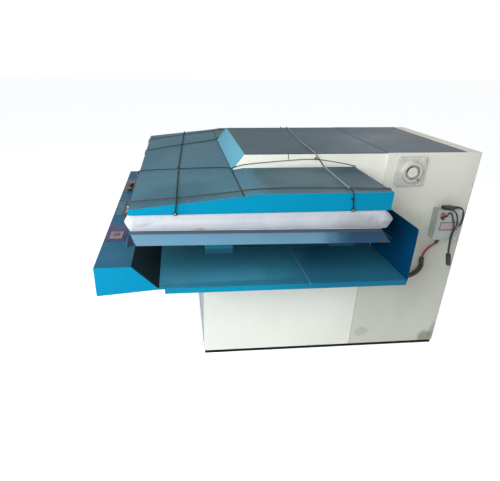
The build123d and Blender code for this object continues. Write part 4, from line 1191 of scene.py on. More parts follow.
CABLES: tuple[Line, ...] = (
    cable(
        "red_lead", "red_cable", RED_SHEATH, Slot.RED_RUBBER, 0.0056, 0.123, "object", "medium",
        (
            (0.4285, 0.7616, 0.666), (0.4285, 0.7616, 0.652), (0.4255, 0.7436, 0.637),
            (0.4215, 0.722, 0.613), (0.418, 0.710, 0.585), (0.417, 0.710, 0.560),
        ),
    ),
    cable(
        "cable_conduit", "cable_sleeve", SLEEVE, Slot.BLACK_RUBBER, 0.0122, 0.167, "object",
        "stiff",
        (
            (0.417, 0.710, 0.560), (0.416, 0.710, 0.535), (0.4165, 0.716, 0.513),
            (0.4165, 0.708, 0.491), (0.417, 0.692, 0.473), (0.417, 0.671, 0.460),
            (0.417, 0.647, 0.454), (0.417, 0.623, 0.454),
        ),
        ribs=0.0042, steps=36, sides=24,
    ),
    cable(
        "supply_lead", "supply_cable", RUBBER, Slot.BLACK_RUBBER, 0.0045, 0.173, "object", "medium",
        (
            (0.4405, 0.7904, 0.841), (0.4405, 0.808, 0.841), (0.4425, 0.826, 0.8415),
            (0.4445, 0.842, 0.833), (0.4465, 0.851, 0.815), (0.4465, 0.855, 0.793),
            (0.4435, 0.857, 0.770), (0.4365, 0.859, 0.749), (0.4235, 0.861, 0.734),
            (0.4115, 0.862, 0.729),
        ),
    ),
    cable(
        "pendant_outer_lead", "pendant_cables", RUBBER, Slot.BLACK_RUBBER, 0.0035, 0.269,
        "connector", "limp",
        (
            (0.4585, 0.7654, 0.841), (0.4705, 0.7654, 0.841), (0.481, 0.773, 0.839),
            (0.482, 0.787, 0.828), (0.4815, 0.799, 0.809), (0.4805, 0.806, 0.786),
            (0.4805, 0.808, 0.761), (0.4805, 0.803, 0.737), (0.4805, 0.797, 0.713),
            (0.4805, 0.798, 0.687), (0.4805, 0.800, 0.659), (0.48375, 0.8002, 0.6303),
            (0.48375, 0.806, 0.606),
        ),
        carries=("pendant_connector",),
    ),
    cable(
        "pendant_inner_lead", "pendant_cables", RUBBER, Slot.BLACK_RUBBER, 0.0035, 0.269,
        "connector", "limp",
        (
            (0.4655, 0.747, 0.806), (0.4785, 0.747, 0.806), (0.479, 0.750, 0.819),
            (0.4765, 0.758, 0.826), (0.474, 0.770, 0.823), (0.4725, 0.781, 0.806),
            (0.4725, 0.791, 0.783), (0.4725, 0.800, 0.758), (0.4725, 0.802, 0.733),
            (0.4725, 0.797, 0.710), (0.4725, 0.798, 0.685), (0.4725, 0.801, 0.659),
            (0.47625, 0.8002, 0.6303), (0.47625, 0.806, 0.606),
        ),
        carries=("pendant_connector",),
    ),
)

TIES: tuple[Line, ...] = (
    tie(
        "near_tie_cord", "cords_along", BROWN_CORD, 1.11,
        (
            (0.727, -0.741, 0.973), (0.727, -0.7415, 0.983), (0.7272, -0.7412, 0.9905),
            (0.728, -0.730, 0.9925), (0.738, -0.555, 1.0072), (0.749, -0.330, 1.0300),
            (0.7485, -0.275, 1.0375), (0.7467, -0.220, 1.0401), (0.737, -0.072, 1.0401),
            (0.7735, 0.265, 1.0405), (0.774, 0.2825, 1.0405), (0.7745, 0.2835, 1.031),
            (0.776, 0.283, 0.973),
        ),
    ),
    tie(
        "right_tie_cord", "cords_along", DARK_CORD, 1.166,
        (
            (0.231, -0.741, 0.973), (0.231, -0.7415, 0.983), (0.2312, -0.7412, 0.9905),
            (0.233, -0.730, 0.9925), (0.263, -0.554, 1.0073), (0.346, -0.315, 1.0309),
            (0.388, -0.3062, 1.0330), (0.3985, -0.3040, 1.0375), (0.3985, -0.2930, 1.0430),
            (0.3972, -0.240, 1.0560), (0.39625, -0.045, 1.070), (0.39625, 0.081, 1.077),
            (0.39625, 0.202, 1.058), (0.3968, 0.2750, 1.0425), (0.397, 0.2832, 1.0395),
            (0.39625, 0.2832, 1.030), (0.39625, 0.283, 0.973),
        ),
    ),
    tie(
        "left_tie_cord", "cords_along", DARK_CORD, 1.136,
        (
            (-0.268, -0.741, 0.973), (-0.268, -0.7415, 0.983), (-0.2683, -0.7412, 0.9905),
            (-0.272, -0.730, 0.9925), (-0.352, -0.513, 1.0113), (-0.386, -0.315, 1.0309),
            (-0.3968, -0.3062, 1.0345), (-0.3985, -0.2990, 1.0415), (-0.3980, -0.263, 1.055),
            (-0.39625, 0.030, 1.072), (-0.39625, 0.170, 1.060), (-0.3968, 0.2750, 1.0425),
            (-0.397, 0.2832, 1.0395), (-0.39625, 0.2832, 1.030), (-0.39625, 0.283, 0.973),
        ),
    ),
    tie(
        "far_tie_cord", "cords_along", DARK_CORD, 1.115,
        (
            (-0.651, -0.741, 0.973), (-0.651, -0.7415, 0.983), (-0.6513, -0.7412, 0.9905),
            (-0.653, -0.730, 0.9925), (-0.7205, -0.330, 1.0300), (-0.7285, -0.275, 1.0375),
            (-0.7365, -0.220, 1.0401), (-0.7478, 0.265, 1.0405), (-0.748, 0.2825, 1.0405),
            (-0.748, 0.2835, 1.031), (-0.748, 0.283, 0.973),
        ),
    ),
    tie(
        "front_cross_cord", "cords_across", DARK_CORD, 1.717,
        (
            (0.820, -0.563, 0.973), (0.8203, -0.5605, 0.996), (0.8202, -0.558, 1.0105),
            (0.806, -0.5577, 1.0118), (0.232, -0.547, 1.0124), (-0.806, -0.5005, 1.0155),
            (-0.8202, -0.500, 1.0150), (-0.8205, -0.499, 1.003), (-0.820, -0.498, 0.973),
        ),
        radius=0.0030,
    ),
    tie(
        "arm_cross_cord", "cords_across", PALE_CORD, 1.896,
        (
            (0.820, 0.122, 0.973), (0.8205, 0.116, 1.026), (0.8202, 0.1125, 1.0435),
            (0.806, 0.1125, 1.0448), (0.425, 0.1234, 1.0450), (0.4030, 0.1215, 1.0485),
            (0.4022, 0.114, 1.0610), (0.4022, 0.084, 1.0960), (0.4000, 0.081, 1.1040),
            (0.388, 0.0812, 1.1045), (0.054, 0.090, 1.1033), (-0.388, 0.131, 1.1045),
            (-0.4000, 0.132, 1.1040), (-0.4022, 0.1345, 1.0940), (-0.4022, 0.148, 1.0560),
            (-0.4050, 0.150, 1.0470), (-0.425, 0.152, 1.0450), (-0.806, 0.189, 1.0448),
            (-0.8202, 0.190, 1.0435), (-0.8205, 0.192, 1.026), (-0.820, 0.196, 0.973),
        ),
        radius=0.0026,
    ),
)


# ---------------------------------------------------------------------------------------------
# Padded head: cotton cover, felt pad and the bed's insulation


@dataclass
class PressPadding:
    """The cotton cover stretched round the upper platen, the felt in it and the bed's wool."""

    half_width: float = 0.815
    front: float = -0.737
    rear: float = 0.258
    top: float = 0.9655
    bed_rear_top: float = 0.890
    bed_tilt: float = math.radians(0.8)
    ridge_front: float = 0.941
    ridge_rear: float = 0.931
    bulge: float = 0.0235
    front_bulge: float = 0.004
    rear_bulge: float = 0.038
    rear_tail: float = 0.020
    corner: float = 0.009
    rows: int = 16
    spacing: float = 0.0105
    cap: float = 0.006
    gap: float = 0.0007
    band: float = 0.085
    under: tuple[float, ...] = (0.012, 0.05, 0.15, 0.3, 0.45)
    settle_frames: int = 16
    slow_wrinkle: float = 0.0035
    quick_wrinkle: float = 0.0014
    pucker: float = 0.0026
    fold: float = 0.0045
    dimple: float = 0.004

    def bed_top(self, y: float) -> float:
        """Height of the bed's face at y."""
        return self.bed_rear_top + (self.rear - y) * math.tan(self.bed_tilt)

    def outline(self, inset: float = 0.0) -> list[tuple[Vector, Vector]]:
        """Stations round the cover.

        Args:
            inset: How far inside the platen's edge they are.

        Returns:
            Each station's place and its outward direction, in the plane.
        """
        stations: list[tuple[Vector, Vector]] = []
        half, low, high = self.half_width - inset, self.front + inset, self.rear - inset
        radius = self.corner
        corners = (
            (half - radius, low + radius, -90.0),
            (half - radius, high - radius, 0.0),
            (radius - half, high - radius, 90.0),
            (radius - half, low + radius, 180.0),
        )
        for number, (x, y, start) in enumerate(corners):
            for step in range(6):
                angle = math.radians(start + 18.0 * step)
                outward = Vector((math.cos(angle), math.sin(angle)))
                stations.append((Vector((x, y)) + outward * radius, outward))
            ahead = corners[(number + 1) % 4]
            angle = math.radians(ahead[2])
            outward = Vector((math.cos(angle), math.sin(angle)))
            place = stations[-1][0]
            target = Vector((ahead[0], ahead[1])) + outward * radius
            count = int(self.full_run(number) / self.spacing)
            for step in range(1, count):
                stations.append((place.lerp(target, step / count), outward))
        return stations

    def full_run(self, side: int) -> float:
        """Length of a straight side between its corners."""
        return (self.rear - self.front if side % 2 == 0 else 2 * self.half_width) - 2 * self.corner

    def crumple(self, place: Vector, outward: Vector, share: float) -> float:
        """How far a wrinkle lifts the cloth.

        Args:
            place: The station on the platen's edge.
            outward: The station's outward direction.
            share: From 0 at the hem to 1 at the lower edge.

        Returns:
            The lift along the outward direction.
        """
        held = math.sin(math.pi * share)
        along = place.y if abs(outward.x) > 0.5 else place.x
        side = 1.7 if outward.x > 0.5 else 5.3 + outward.y
        slow = noise.noise(Vector((along * 4.0, share * 1.3, side)))
        quick = noise.noise(Vector((along * 23.0, share * 2.1, side + 9.0)))
        lift = self.slow_wrinkle * slow + self.quick_wrinkle * quick
        if abs(outward.x) > 0.5:
            to_corner = min(abs(place.y - self.front), abs(place.y - self.rear))
            wave = math.sin(along * 210.0 + 3.0 * share)
            lift += self.pucker * wave * math.exp(-to_corner / 0.05)
        if outward.x > 0.5:
            fold_height = self.top - 0.060 + (place.y - self.front) * 0.30
            height = self.top + share * (self.bed_top(place.y) - self.top)
            near = math.exp(-(((height - fold_height) / 0.006) ** 2))
            lift -= self.fold * near * math.exp(-(((place.y + 0.66) / 0.10) ** 2))
            lift -= self.dimple * math.exp(-(((place.y - 0.205) / 0.012) ** 2)) * (1 - share)
        return lift * held

    def reach_at(self, place: Vector, outward: Vector) -> tuple[float, float]:
        """How far the ridge and the lower edge stand out: flat in front, and full behind.

        Args:
            place: The station on the platen's edge.
            outward: The station's outward direction.

        Returns:
            The reach of the ridge and of the lower edge.
        """
        inwards = self.half_width - abs(place.x)
        front_reach = self.front_bulge + (self.bulge - self.front_bulge) * math.exp(-inwards / 0.02)
        front, rear = max(0.0, -outward.y) ** 2, max(0.0, outward.y) ** 2
        near_rear = math.exp(-max(0.0, self.rear - place.y) / 0.03)
        side = self.bulge + (self.rear_bulge - self.bulge) * 0.4 * near_rear
        ridge = front * front_reach + rear * self.rear_bulge + outward.x**2 * side
        return ridge, rear * self.rear_tail

    def band_point(self, place: Vector, outward: Vector, share: float) -> Vector:
        """A point of the cover's side, from the hem at share 0 to the lower edge at 1."""
        ridge_share = (place.y - self.front) / (self.rear - self.front)
        ridge = self.ridge_front + (self.ridge_rear - self.ridge_front) * ridge_share
        low = self.bed_top(place.y) + self.gap
        bulge, tail = self.reach_at(place, outward)
        if share < 0.5:
            height = self.top + (ridge - self.top) * 2 * share
            reach = bulge * (2 * share) ** 0.85
        else:
            height = ridge + (low - ridge) * (2 * share - 1)
            reach = tail + (bulge - tail) * (2 - 2 * share) ** 0.85
        hem = 0.0012 * math.exp(-share / 0.04)
        lift = self.crumple(place, outward, share)
        flat = place + outward * (reach + lift + hem)
        return Vector((flat.x, flat.y, height))

    def cover_shape(self) -> tuple[list[Vector], list[tuple[int, ...]], list[tuple[float, float]]]:
        """The cover before it is simulated.

        Returns:
            Points, faces, and each point's UV in metres.
        """
        points: list[Vector] = []
        maps: list[tuple[float, float]] = []
        stations = self.outline()
        count = len(stations)
        run = 0.0
        runs = []
        for number, (place, _) in enumerate(stations):
            run += (place - stations[number - 1][0]).length if number else 0.0
            runs.append(run)
        for row in range(self.rows + 1):
            share = row / self.rows
            for number, (place, outward) in enumerate(stations):
                points.append(self.band_point(place, outward, share))
                maps.append((runs[number], share * self.band))
        for inset in self.under:
            for place, _ in self.outline(inset):
                points.append(Vector((place.x, place.y, self.bed_top(place.y) + self.gap)))
                maps.append((place.x, place.y))
        rings = self.rows + 1 + len(self.under)
        faces = band_faces(rings, count)
        faces.append(tuple(range((rings - 1) * count, rings * count)))
        return points, faces, maps

    def settle(self, mesh: bpy.types.Mesh, ring: int) -> None:
        """Lets the side of the cover settle as cloth under a light pressure from inside.

        Args:
            mesh: The cover's mesh, which is changed.
            ring: Vertices in each ring of the cover's side.
        """
        holder = bpy.data.objects.new("cover settling", mesh)
        bpy.context.scene.collection.objects.link(holder)
        pins = holder.vertex_groups.new(name="pins")
        free = set(range(ring, self.rows * ring))
        ridge = self.rows // 2
        pins.add([i for i in range(len(mesh.vertices)) if i not in free], 1.0, "REPLACE")
        pins.add(list(range(ridge * ring, (ridge + 1) * ring, 9)), 0.6, "REPLACE")
        cloth = holder.modifiers.new("settle", "CLOTH")
        cloth.settings.quality = 6
        cloth.settings.mass = 0.2
        cloth.settings.tension_stiffness = 12.0
        cloth.settings.compression_stiffness = 12.0
        cloth.settings.bending_stiffness = 0.3
        cloth.settings.use_pressure = True
        cloth.settings.uniform_pressure_force = 2.5
        cloth.settings.effector_weights.gravity = 0.0
        cloth.settings.vertex_group_mass = "pins"
        cloth.point_cache.frame_start, cloth.point_cache.frame_end = 1, self.settle_frames
        scene = bpy.context.scene
        for step in range(1, self.settle_frames + 1):
            scene.frame_set(step)
        moved = plain_mesh(holder, "cover settled")
        for vertex, settled in zip(mesh.vertices, moved.vertices):
            step = settled.co - vertex.co
            if step.length > self.cap:
                step *= self.cap / step.length
            vertex.co = vertex.co + step
        scene.frame_set(1)
        bpy.data.objects.remove(holder)
        bpy.data.meshes.remove(moved)

    def build_cover(self) -> bpy.types.Object:
        """Makes the cotton cover with its stitches in place of the CAD cover.

        Returns:
            The cover.
        """
        points, faces, maps = self.cover_shape()
        ring = len(self.outline())
        mesh = mesh_of("press_cover", points, faces)
        layer = mesh.uv_layers.new(name="cloth")
        for loop in mesh.loops:
            layer.data[loop.index].uv = maps[loop.vertex_index]
        self.settle(mesh, ring)
        hem = [mesh.vertices[i].co.copy() for i in range(2 * ring, 3 * ring)]
        outwards = [o for _, o in self.outline()]
        hem = [p + Vector((o.x, o.y, 0.0)) * 0.0006 for p, o in zip(hem, outwards)]
        cover = new_piece("press_cover", mesh, COTTON, Body.HEAD)
        thick = cover.modifiers.new("thickness", "SOLIDIFY")
        thick.thickness, thick.offset = 0.0014, -1.0
        smooth = cover.modifiers.new("smooth", "SUBSURF")
        smooth.levels = smooth.render_levels = 1
        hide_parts("pad_cover")
        stitches = stitch_row("cover_stitches", hem, STITCH, Slot.COTTON, Body.HEAD)
        return cover

    def build_slab(
        self, name: str, node: str, finish: Finish, body: Body
    ) -> bpy.types.Object:
        """Makes a padded slab in the space of its CAD solid, with its edges drawn in.

        Args:
            name: The piece's name.
            node: The CAD node that it stands for.
            finish: Its finish.
            body: The body that it rides on.

        Returns:
            The slab.
        """
        work = bmesh.new()
        work.from_mesh(NODES[node].data)
        bmesh.ops.remove_doubles(work, verts=work.verts, dist=1e-5)
        bmesh.ops.dissolve_limit(work, angle_limit=0.02, verts=work.verts, edges=work.edges)
        bmesh.ops.bevel(
            work, geom=list(work.edges), offset=0.005, segments=3, profile=0.5, affect="EDGES"
        )
        bmesh.ops.recalc_face_normals(work, faces=work.faces)
        for face in work.faces:
            face.smooth = True
        mesh = bpy.data.meshes.new(name)
        layer = work.loops.layers.uv.new("cloth")
        for face in work.faces:
            for loop in face.loops:
                loop[layer].uv = (loop.vert.co.x, loop.vert.co.y + loop.vert.co.z)
        work.to_mesh(mesh)
        work.free()
        piece = new_piece(name, mesh, finish, body)
        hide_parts(node)
        return piece

    def build(self) -> None:
        """Makes the cover, the felt and the wool."""
        self.build_cover()
        self.build_slab("pad_felt", "press_pad", FELT, Body.HEAD)
        self.build_slab("bed_wool", "insulation", WOOL, Body.STAND)


# ---------------------------------------------------------------------------------------------
# What repeats, made by Geometry Nodes


class Repeats:
    """A Geometry Nodes tree with named sizes, which becomes a plain mesh."""

    def __init__(self, name: str, sizes: dict[str, float], finish: Finish) -> None:
        """Starts the tree.

        Args:
            name: The tree's name.
            sizes: Its inputs and their values in metres.
            finish: The finish of what it makes.
        """
        self.tree = bpy.data.node_groups.new(name, "GeometryNodeTree")
        self.graph = Graph(self.tree)
        self.finish = finish
        add_socket(self.tree, "Places", "INPUT", "Geometry")
        self.sizes = {
            add_socket(self.tree, size, "INPUT", value=value): value
            for size, value in sizes.items()
        }
        add_socket(self.tree, "Made", "OUTPUT", "Geometry")
        self.given = self.graph.add("NodeGroupInput").outputs
        self.made = self.graph.add("NodeGroupOutput").inputs["Made"]

    def close(self, geometry: Any) -> None:
        """Ends the tree: real geometry with its material."""
        real = self.graph.add("GeometryNodeRealizeInstances", {"Geometry": geometry}).outputs[0]
        smooth = self.graph.add(
            "GeometryNodeSetShadeSmooth", {"Geometry": real, "Shade Smooth": False}
        ).outputs[0]
        dressed = self.graph.add(
            "GeometryNodeSetMaterial", {"Geometry": smooth, "Material": self.finish.material()}
        ).outputs[0]
        self.graph.feed(self.made, dressed)

    def spread(self, shape: Any, points: Any) -> Any:
        """Puts the shape on every point, turned to face the point's own direction."""
        graph = self.graph
        facing = graph.add(
            "GeometryNodeInputNamedAttribute", {"Name": "facing"}, data_type="FLOAT_VECTOR"
        )
        turned = graph.add(
            "FunctionNodeAlignRotationToVector",
            {"Vector": graph.socket(facing.outputs, "Attribute")},
            axis="Z",
        )
        chance = graph.add(
            "FunctionNodeRandomValue", {"Min": 0.0, "Max": 3.1, "Seed": 7}, data_type="FLOAT"
        )
        spin = graph.add(
            "FunctionNodeAxisAngleToRotation",
            {"Axis": (0.0, 0.0, 1.0), "Angle": graph.socket(chance.outputs, "Value")},
        )
        rotation = graph.add(
            "FunctionNodeRotateRotation",
            {"Rotation": turned.outputs[0], "Rotate By": spin.outputs[0]},
            rotation_space="LOCAL",
        )
        return graph.add(
            "GeometryNodeInstanceOnPoints",
            {"Points": points, "Instance": shape, "Rotation": rotation.outputs[0]},
        ).outputs[0]

    def grow(
        self, name: str, source: bpy.types.Mesh, slot: Slot, body: Body
    ) -> bpy.types.Object:
        """Runs the tree on a mesh of places.

        Args:
            name: The new piece's name.
            source: The mesh whose points the tree works on.
            slot: The record's slot for the finish; not used.
            body: The body that the piece rides on.

        Returns:
            The piece, as a plain mesh.
        """
        holder = bpy.data.objects.new(name + " places", source)
        bpy.context.scene.collection.objects.link(holder)
        modifier = holder.modifiers.new("repeats", "NODES")
        modifier.node_group = self.tree
        for identifier, value in self.sizes.items():
            modifier[identifier] = value
        holder.update_tag()
        bpy.context.view_layer.update()
        mesh = plain_mesh(holder, name)
        holder.modifiers.remove(modifier)
        bpy.data.objects.remove(holder)
        return new_piece(name, mesh, self.finish, body)


def places_mesh(name: str, places: Sequence[tuple[Point, Point]]) -> bpy.types.Mesh:
    """A mesh of loose points, each with the direction that it faces."""
    mesh = bpy.data.meshes.new(name)
    mesh.from_pydata([p for p, _ in places], [], [])
    layer = mesh.attributes.new("facing", "FLOAT_VECTOR", "POINT")
    for number, (_, facing) in enumerate(places):
        layer.data[number].vector = facing
    return mesh


def screw_tree(head_radius: float, finish: Finish) -> Repeats:
    """A pan-head screw with a cross recess, on every place.

    Args:
        head_radius: Radius of the screw's head.
        finish: The screw's finish.

    Returns:
        The tree.
    """
    tree = Repeats(
        f"screws {head_radius * 1000:.1f}",
        {"Head Radius": head_radius, "Head Height": 0.55 * head_radius, "Slot": 0.26 * head_radius},
        finish,
    )
    graph, given = tree.graph, tree.given
    radius, height, slot = given["Head Radius"], given["Head Height"], given["Slot"]

    def step(bottom: float, top: float, depth: float) -> Any:
        """A step of the head, in shares of its radius and its height."""
        sizes = {
            "Vertices": 16, "Radius Bottom": graph.times(radius, bottom),
            "Radius Top": graph.times(radius, top), "Depth": graph.times(height, depth),
        }
        return graph.add("GeometryNodeMeshCone", sizes).outputs["Mesh"]

    low, high = step(1.0, 0.9, 0.6), step(0.9, 0.55, 0.4)
    lift = graph.add("ShaderNodeCombineXYZ", {"Z": graph.times(height, 0.6)})
    raised = graph.add(
        "GeometryNodeTransform", {"Geometry": high, "Translation": lift.outputs[0]}
    ).outputs[0]
    cutters = []
    for turned in (False, True):
        long = graph.times(radius, 1.1)
        size = graph.add(
            "ShaderNodeCombineXYZ",
            {"X": slot if turned else long, "Y": long if turned else slot, "Z": height},
        )
        cube = graph.add("GeometryNodeMeshCube", {"Size": size.outputs[0]}).outputs[0]
        rise = graph.add("ShaderNodeCombineXYZ", {"Z": graph.times(height, 1.05)})
        cutters.append(
            graph.add(
                "GeometryNodeTransform", {"Geometry": cube, "Translation": rise.outputs[0]}
            ).outputs[0]
        )
    cut = graph.add("GeometryNodeMeshBoolean", operation="DIFFERENCE")
    graph.feed(cut.inputs[0], raised)
    for cutter in cutters:
        graph.tree.links.new(cutter, cut.inputs[1])
    head = graph.add("GeometryNodeJoinGeometry")
    graph.tree.links.new(low, head.inputs[0])
    graph.tree.links.new(cut.outputs[0], head.inputs[0])
    tree.close(tree.spread(head.outputs[0], given["Places"]))
    return tree


def knot_tree(cord: float, coil: float, turns: float, height: float, finish: Finish) -> Repeats:
    """A cord wound in a tight coil, on every place.

    Args:
        cord: Radius of the cord.
        coil: Radius of the coil's middle line.
        turns: Turns of the coil.
        height: Length of the coil along its axis.
        finish: The cord's finish.

    Returns:
        The tree.
    """
    tree = Repeats(
        f"knots {coil * 1000:.1f} {height * 1000:.1f}",
        {"Cord Radius": cord, "Coil Radius": coil, "Turns": turns, "Height": height},
        finish,
    )
    graph, given = tree.graph, tree.given
    spiral = graph.add(
        "GeometryNodeCurveSpiral",
        {
            "Resolution": 14, "Rotations": given["Turns"], "Start Radius": given["Coil Radius"],
            "End Radius": given["Coil Radius"], "Height": given["Height"],
        },
    ).outputs[0]
    section = graph.add(
        "GeometryNodeCurvePrimitiveCircle", {"Resolution": 8, "Radius": given["Cord Radius"]}
    ).outputs[0]
    wound = graph.add(
        "GeometryNodeCurveToMesh", {"Curve": spiral, "Profile Curve": section, "Fill Caps": True}
    ).outputs[0]
    tree.close(tree.spread(wound, given["Places"]))
    return tree


def stitch_row(
    name: str, line: Sequence[Vector], finish: Finish, slot: Slot, body: Body
) -> bpy.types.Object:
    """A row of stitches along a closed line.

    Args:
        name: The piece's name.
        line: The points that the row follows.
        finish: The thread's finish.
        slot: The record's slot for it; passed on, but not used.
        body: The body that the row rides on.

    Returns:
        The stitches as one piece.
    """
    tree = Repeats(name, {"Pitch": 0.006, "Length": 0.0042, "Thread": 0.0005}, finish)
    graph, given = tree.graph, tree.given
    curve = graph.add("GeometryNodeMeshToCurve", {"Mesh": given["Places"]}).outputs[0]
    spaced = graph.add(
        "GeometryNodeResampleCurve", {"Curve": curve, "Length": given["Pitch"]}, mode="LENGTH"
    ).outputs[0]
    tangent = graph.add("GeometryNodeInputTangent").outputs[0]
    turned = graph.add("FunctionNodeAlignRotationToVector", {"Vector": tangent}, axis="Z")
    thread = graph.add(
        "GeometryNodeMeshCone",
        {
            "Vertices": 6, "Radius Top": given["Thread"], "Radius Bottom": given["Thread"],
            "Depth": given["Length"],
        },
    ).outputs["Mesh"]
    back = graph.add("ShaderNodeCombineXYZ", {"Z": graph.times(given["Length"], -0.5)})
    centred = graph.add(
        "GeometryNodeTransform", {"Geometry": thread, "Translation": back.outputs[0]}
    ).outputs[0]
    row = graph.add(
        "GeometryNodeInstanceOnPoints",
        {"Points": spaced, "Instance": centred, "Rotation": turned.outputs[0]},
    ).outputs[0]
    tree.close(row)
    source = bpy.data.meshes.new(name + " line")
    count = len(line)
    source.from_pydata([tuple(p) for p in line], [(i, (i + 1) % count) for i in range(count)], [])
    return tree.grow(name, source, slot, body)


# ---------------------------------------------------------------------------------------------
# Sub-assemblies


@dataclass
class TieCords:
    """The cords that tie the head's covers down, and their knots."""

    lines: tuple[Line, ...] = TIES
    peg_drop: float = 0.0028
    peg_depth: float = 0.0035
    side_face: float = 0.815
    cord: float = 0.0019
    loose_end: tuple[Point, ...] = (
        (0.3900, -0.0430, 1.1008), (0.3935, -0.0428, 1.1004), (0.3948, -0.0424, 1.0960),
        (0.3950, -0.0412, 1.0830), (0.3948, -0.0400, 1.0690),
    )

    def peg_places(self) -> list[tuple[Point, Point]]:
        """Where each cord is tied to its peg, and the peg's direction."""
        places = []
        for line in self.lines:
            for x, y, z in (line.points[0], line.points[-1]):
                outward: Point = (
                    (math.copysign(1.0, x), 0.0, 0.0)
                    if abs(x) > self.side_face
                    else (0.0, math.copysign(1.0, y), 0.0)
                )
                back = [a - self.peg_depth * b for a, b in zip((x, y, z - self.peg_drop), outward)]
                places.append((tuple(back), outward))
        return places

    def build(self) -> None:
        """Makes the cords and the knots."""
        for line in self.lines:
            line.build()
        crossings = [
            ((0.8200, 0.1130, 1.0100), (0.0, 0.1, 0.99)),
            ((0.2315, -0.5475, 1.0080), (0.995, 0.05, 0.0)),
            ((0.3985, 0.0810, 1.0765), (0.0, 0.94, 0.34)),
        ]
        for name, coil, turns, height, places in (
            ("peg_knots", 0.0049, 2.2, 0.0072, self.peg_places()),
            ("crossing_knots", 0.0034, 2.4, 0.0080, crossings),
        ):
            tree = knot_tree(self.cord, coil, turns, height, DARK_CORD)
            tree.grow(name, places_mesh(name + " at", places), Slot.CORD, Body.HEAD)
        end = [Vector(place) for place in self.loose_end]
        thread = tube_mesh("loose_thread", end, lambda at: 0.0012, 8)
        new_piece("loose_thread", thread, BROWN_CORD, Body.HEAD)


@dataclass
class Fasteners:
    """Screws on the tray, the covers, the base and the electrical box."""

    tray_near: tuple[float, ...] = (-0.613, -0.434, -0.271, -0.032, 0.211)
    tray_inner: tuple[float, ...] = (-0.404, -0.228, -0.030, 0.217)
    head_edge: tuple[float, ...] = (-0.705, -0.510, -0.337, -0.085, 0.180)
    tray_top: float = 0.638
    head_top: float = 1.037
    arm_top: float = 1.100
    front: float = -0.737
    front_top: float = 0.986
    crease: float = -0.303
    slope: float = 43 / 434

    def stand_places(self) -> list[tuple[Point, Point]]:
        """Screws that stay with the stand."""
        up, back, ahead = (0.0, 0.0, 1.0), (0.0, 1.0, 0.0), (0.0, -1.0, 0.0)
        places: list[tuple[Point, Point]] = []
        for side in (1.0, -1.0):
            places += [((side * 0.775, y, self.tray_top), up) for y in self.tray_near]
            places += [((side * 0.4135, y, self.tray_top), up) for y in self.tray_inner]
        for z in (0.05, 0.30, 0.80, 1.07):
            places += [((x, 0.895, z), back) for x in (-0.385, 0.0, 0.385)]
        for x in (-0.36, 0.0, 0.36):
            places += [((x, -0.437, z), ahead) for z in (0.06, 0.57)]
        return places

    def head_places(self) -> list[tuple[Point, Point]]:
        """Screws that move with the head."""
        up: Point = (0.0, 0.0, 1.0)
        places: list[tuple[Point, Point]] = []
        for side in (1.0, -1.0):
            for y in self.head_edge:
                if y < self.crease:
                    top = self.front_top + (y - self.front) * self.slope
                    places.append(((side * 0.800, y, top), (0.0, -0.0985, 1.0)))
                else:
                    places.append(((side * 0.800, y, self.head_top), up))
            places += [((side * x, 0.262, self.head_top), up) for x in (0.44, 0.62)]
            places += [((side * 0.370, y, self.arm_top), up) for y in (-0.215, 0.09, 0.405)]
        return places

    def lid_places(self) -> list[tuple[Point, Point]]:
        """Screws at three corners of the electrical box's lid."""
        corners = ((0.7205, 0.6885), (0.7205, 0.8255), (0.8255, 0.6885))
        return [((0.4655, y, z), (1.0, 0.0, 0.0)) for y, z in corners]

    def build(self) -> None:
        """Makes the screws, one mesh for each size and body."""
        for name, radius, finish, places, body in (
            ("stand_screws", 0.0046, SCREW, self.stand_places(), Body.STAND),
            ("head_screws", 0.0044, SCREW, self.head_places(), Body.HEAD),
            ("lid_screws", 0.0030, BRIGHT, self.lid_places(), Body.STAND),
        ):
            tree = screw_tree(radius, finish)
            tree.grow(name, places_mesh(name + " at", places), Slot.BRIGHT_STEEL, body)


@dataclass
class ArmGussets:
    """White sheets behind the wing covers, and the strips that close the arm's seams."""

    outside: float = 0.3935
    sheet: float = 0.003
    low: float = 0.950
    foot: float = 1.0269
    front: float = 0.286
    rear: float = 0.431
    strip_face: float = 0.3955
    strip_sheet: float = 0.0015
    strip: tuple[tuple[float, float], ...] = (
        (0.4215, 0.952), (0.4345, 0.952), (0.4345, 1.0968), (0.4265, 1.0968), (0.4105, 1.0690),
        (0.4215, 1.0690),
    )

    def sheets(
        self, outline: Sequence[tuple[float, float]], outside: float, thick: float
    ) -> list[Shape]:
        """One outline in (y, z) made into an upright sheet on each side."""
        count, shapes = len(outline), []
        depths = (outside, outside - thick)
        for side in (1.0, -1.0):
            points = [Vector((side * x, y, z)) for x in depths for y, z in outline]
            faces = [tuple(range(count)), tuple(range(2 * count - 1, count - 1, -1))]
            for i in range(count):
                j = (i + 1) % count
                faces.append((i, j, count + j, count + i))
            shapes.append((points, faces))
        return shapes

    def build(self) -> None:
        """Makes the gussets on the head, and the strips on the stand."""
        lower = (
            (self.front, self.foot), (self.front, self.low + 0.012), (self.front + 0.012, self.low),
            (self.rear, self.low), (self.rear, self.foot),
        )
        gussets = self.sheets(lower, self.outside, self.sheet)
        trim_piece("arm_gussets", gussets, ARM_WALL, Body.HEAD)
        strips = self.sheets(self.strip, self.strip_face, self.strip_sheet)
        trim_piece("seam_strips", strips, ARM_WALL)
        bridge = rounded_box((-0.3885, 0.4318, 1.0925), (0.3885, 0.4385, 1.0966), 0.0004)
        trim_piece("top_seam_strip", [bridge], SLATE)


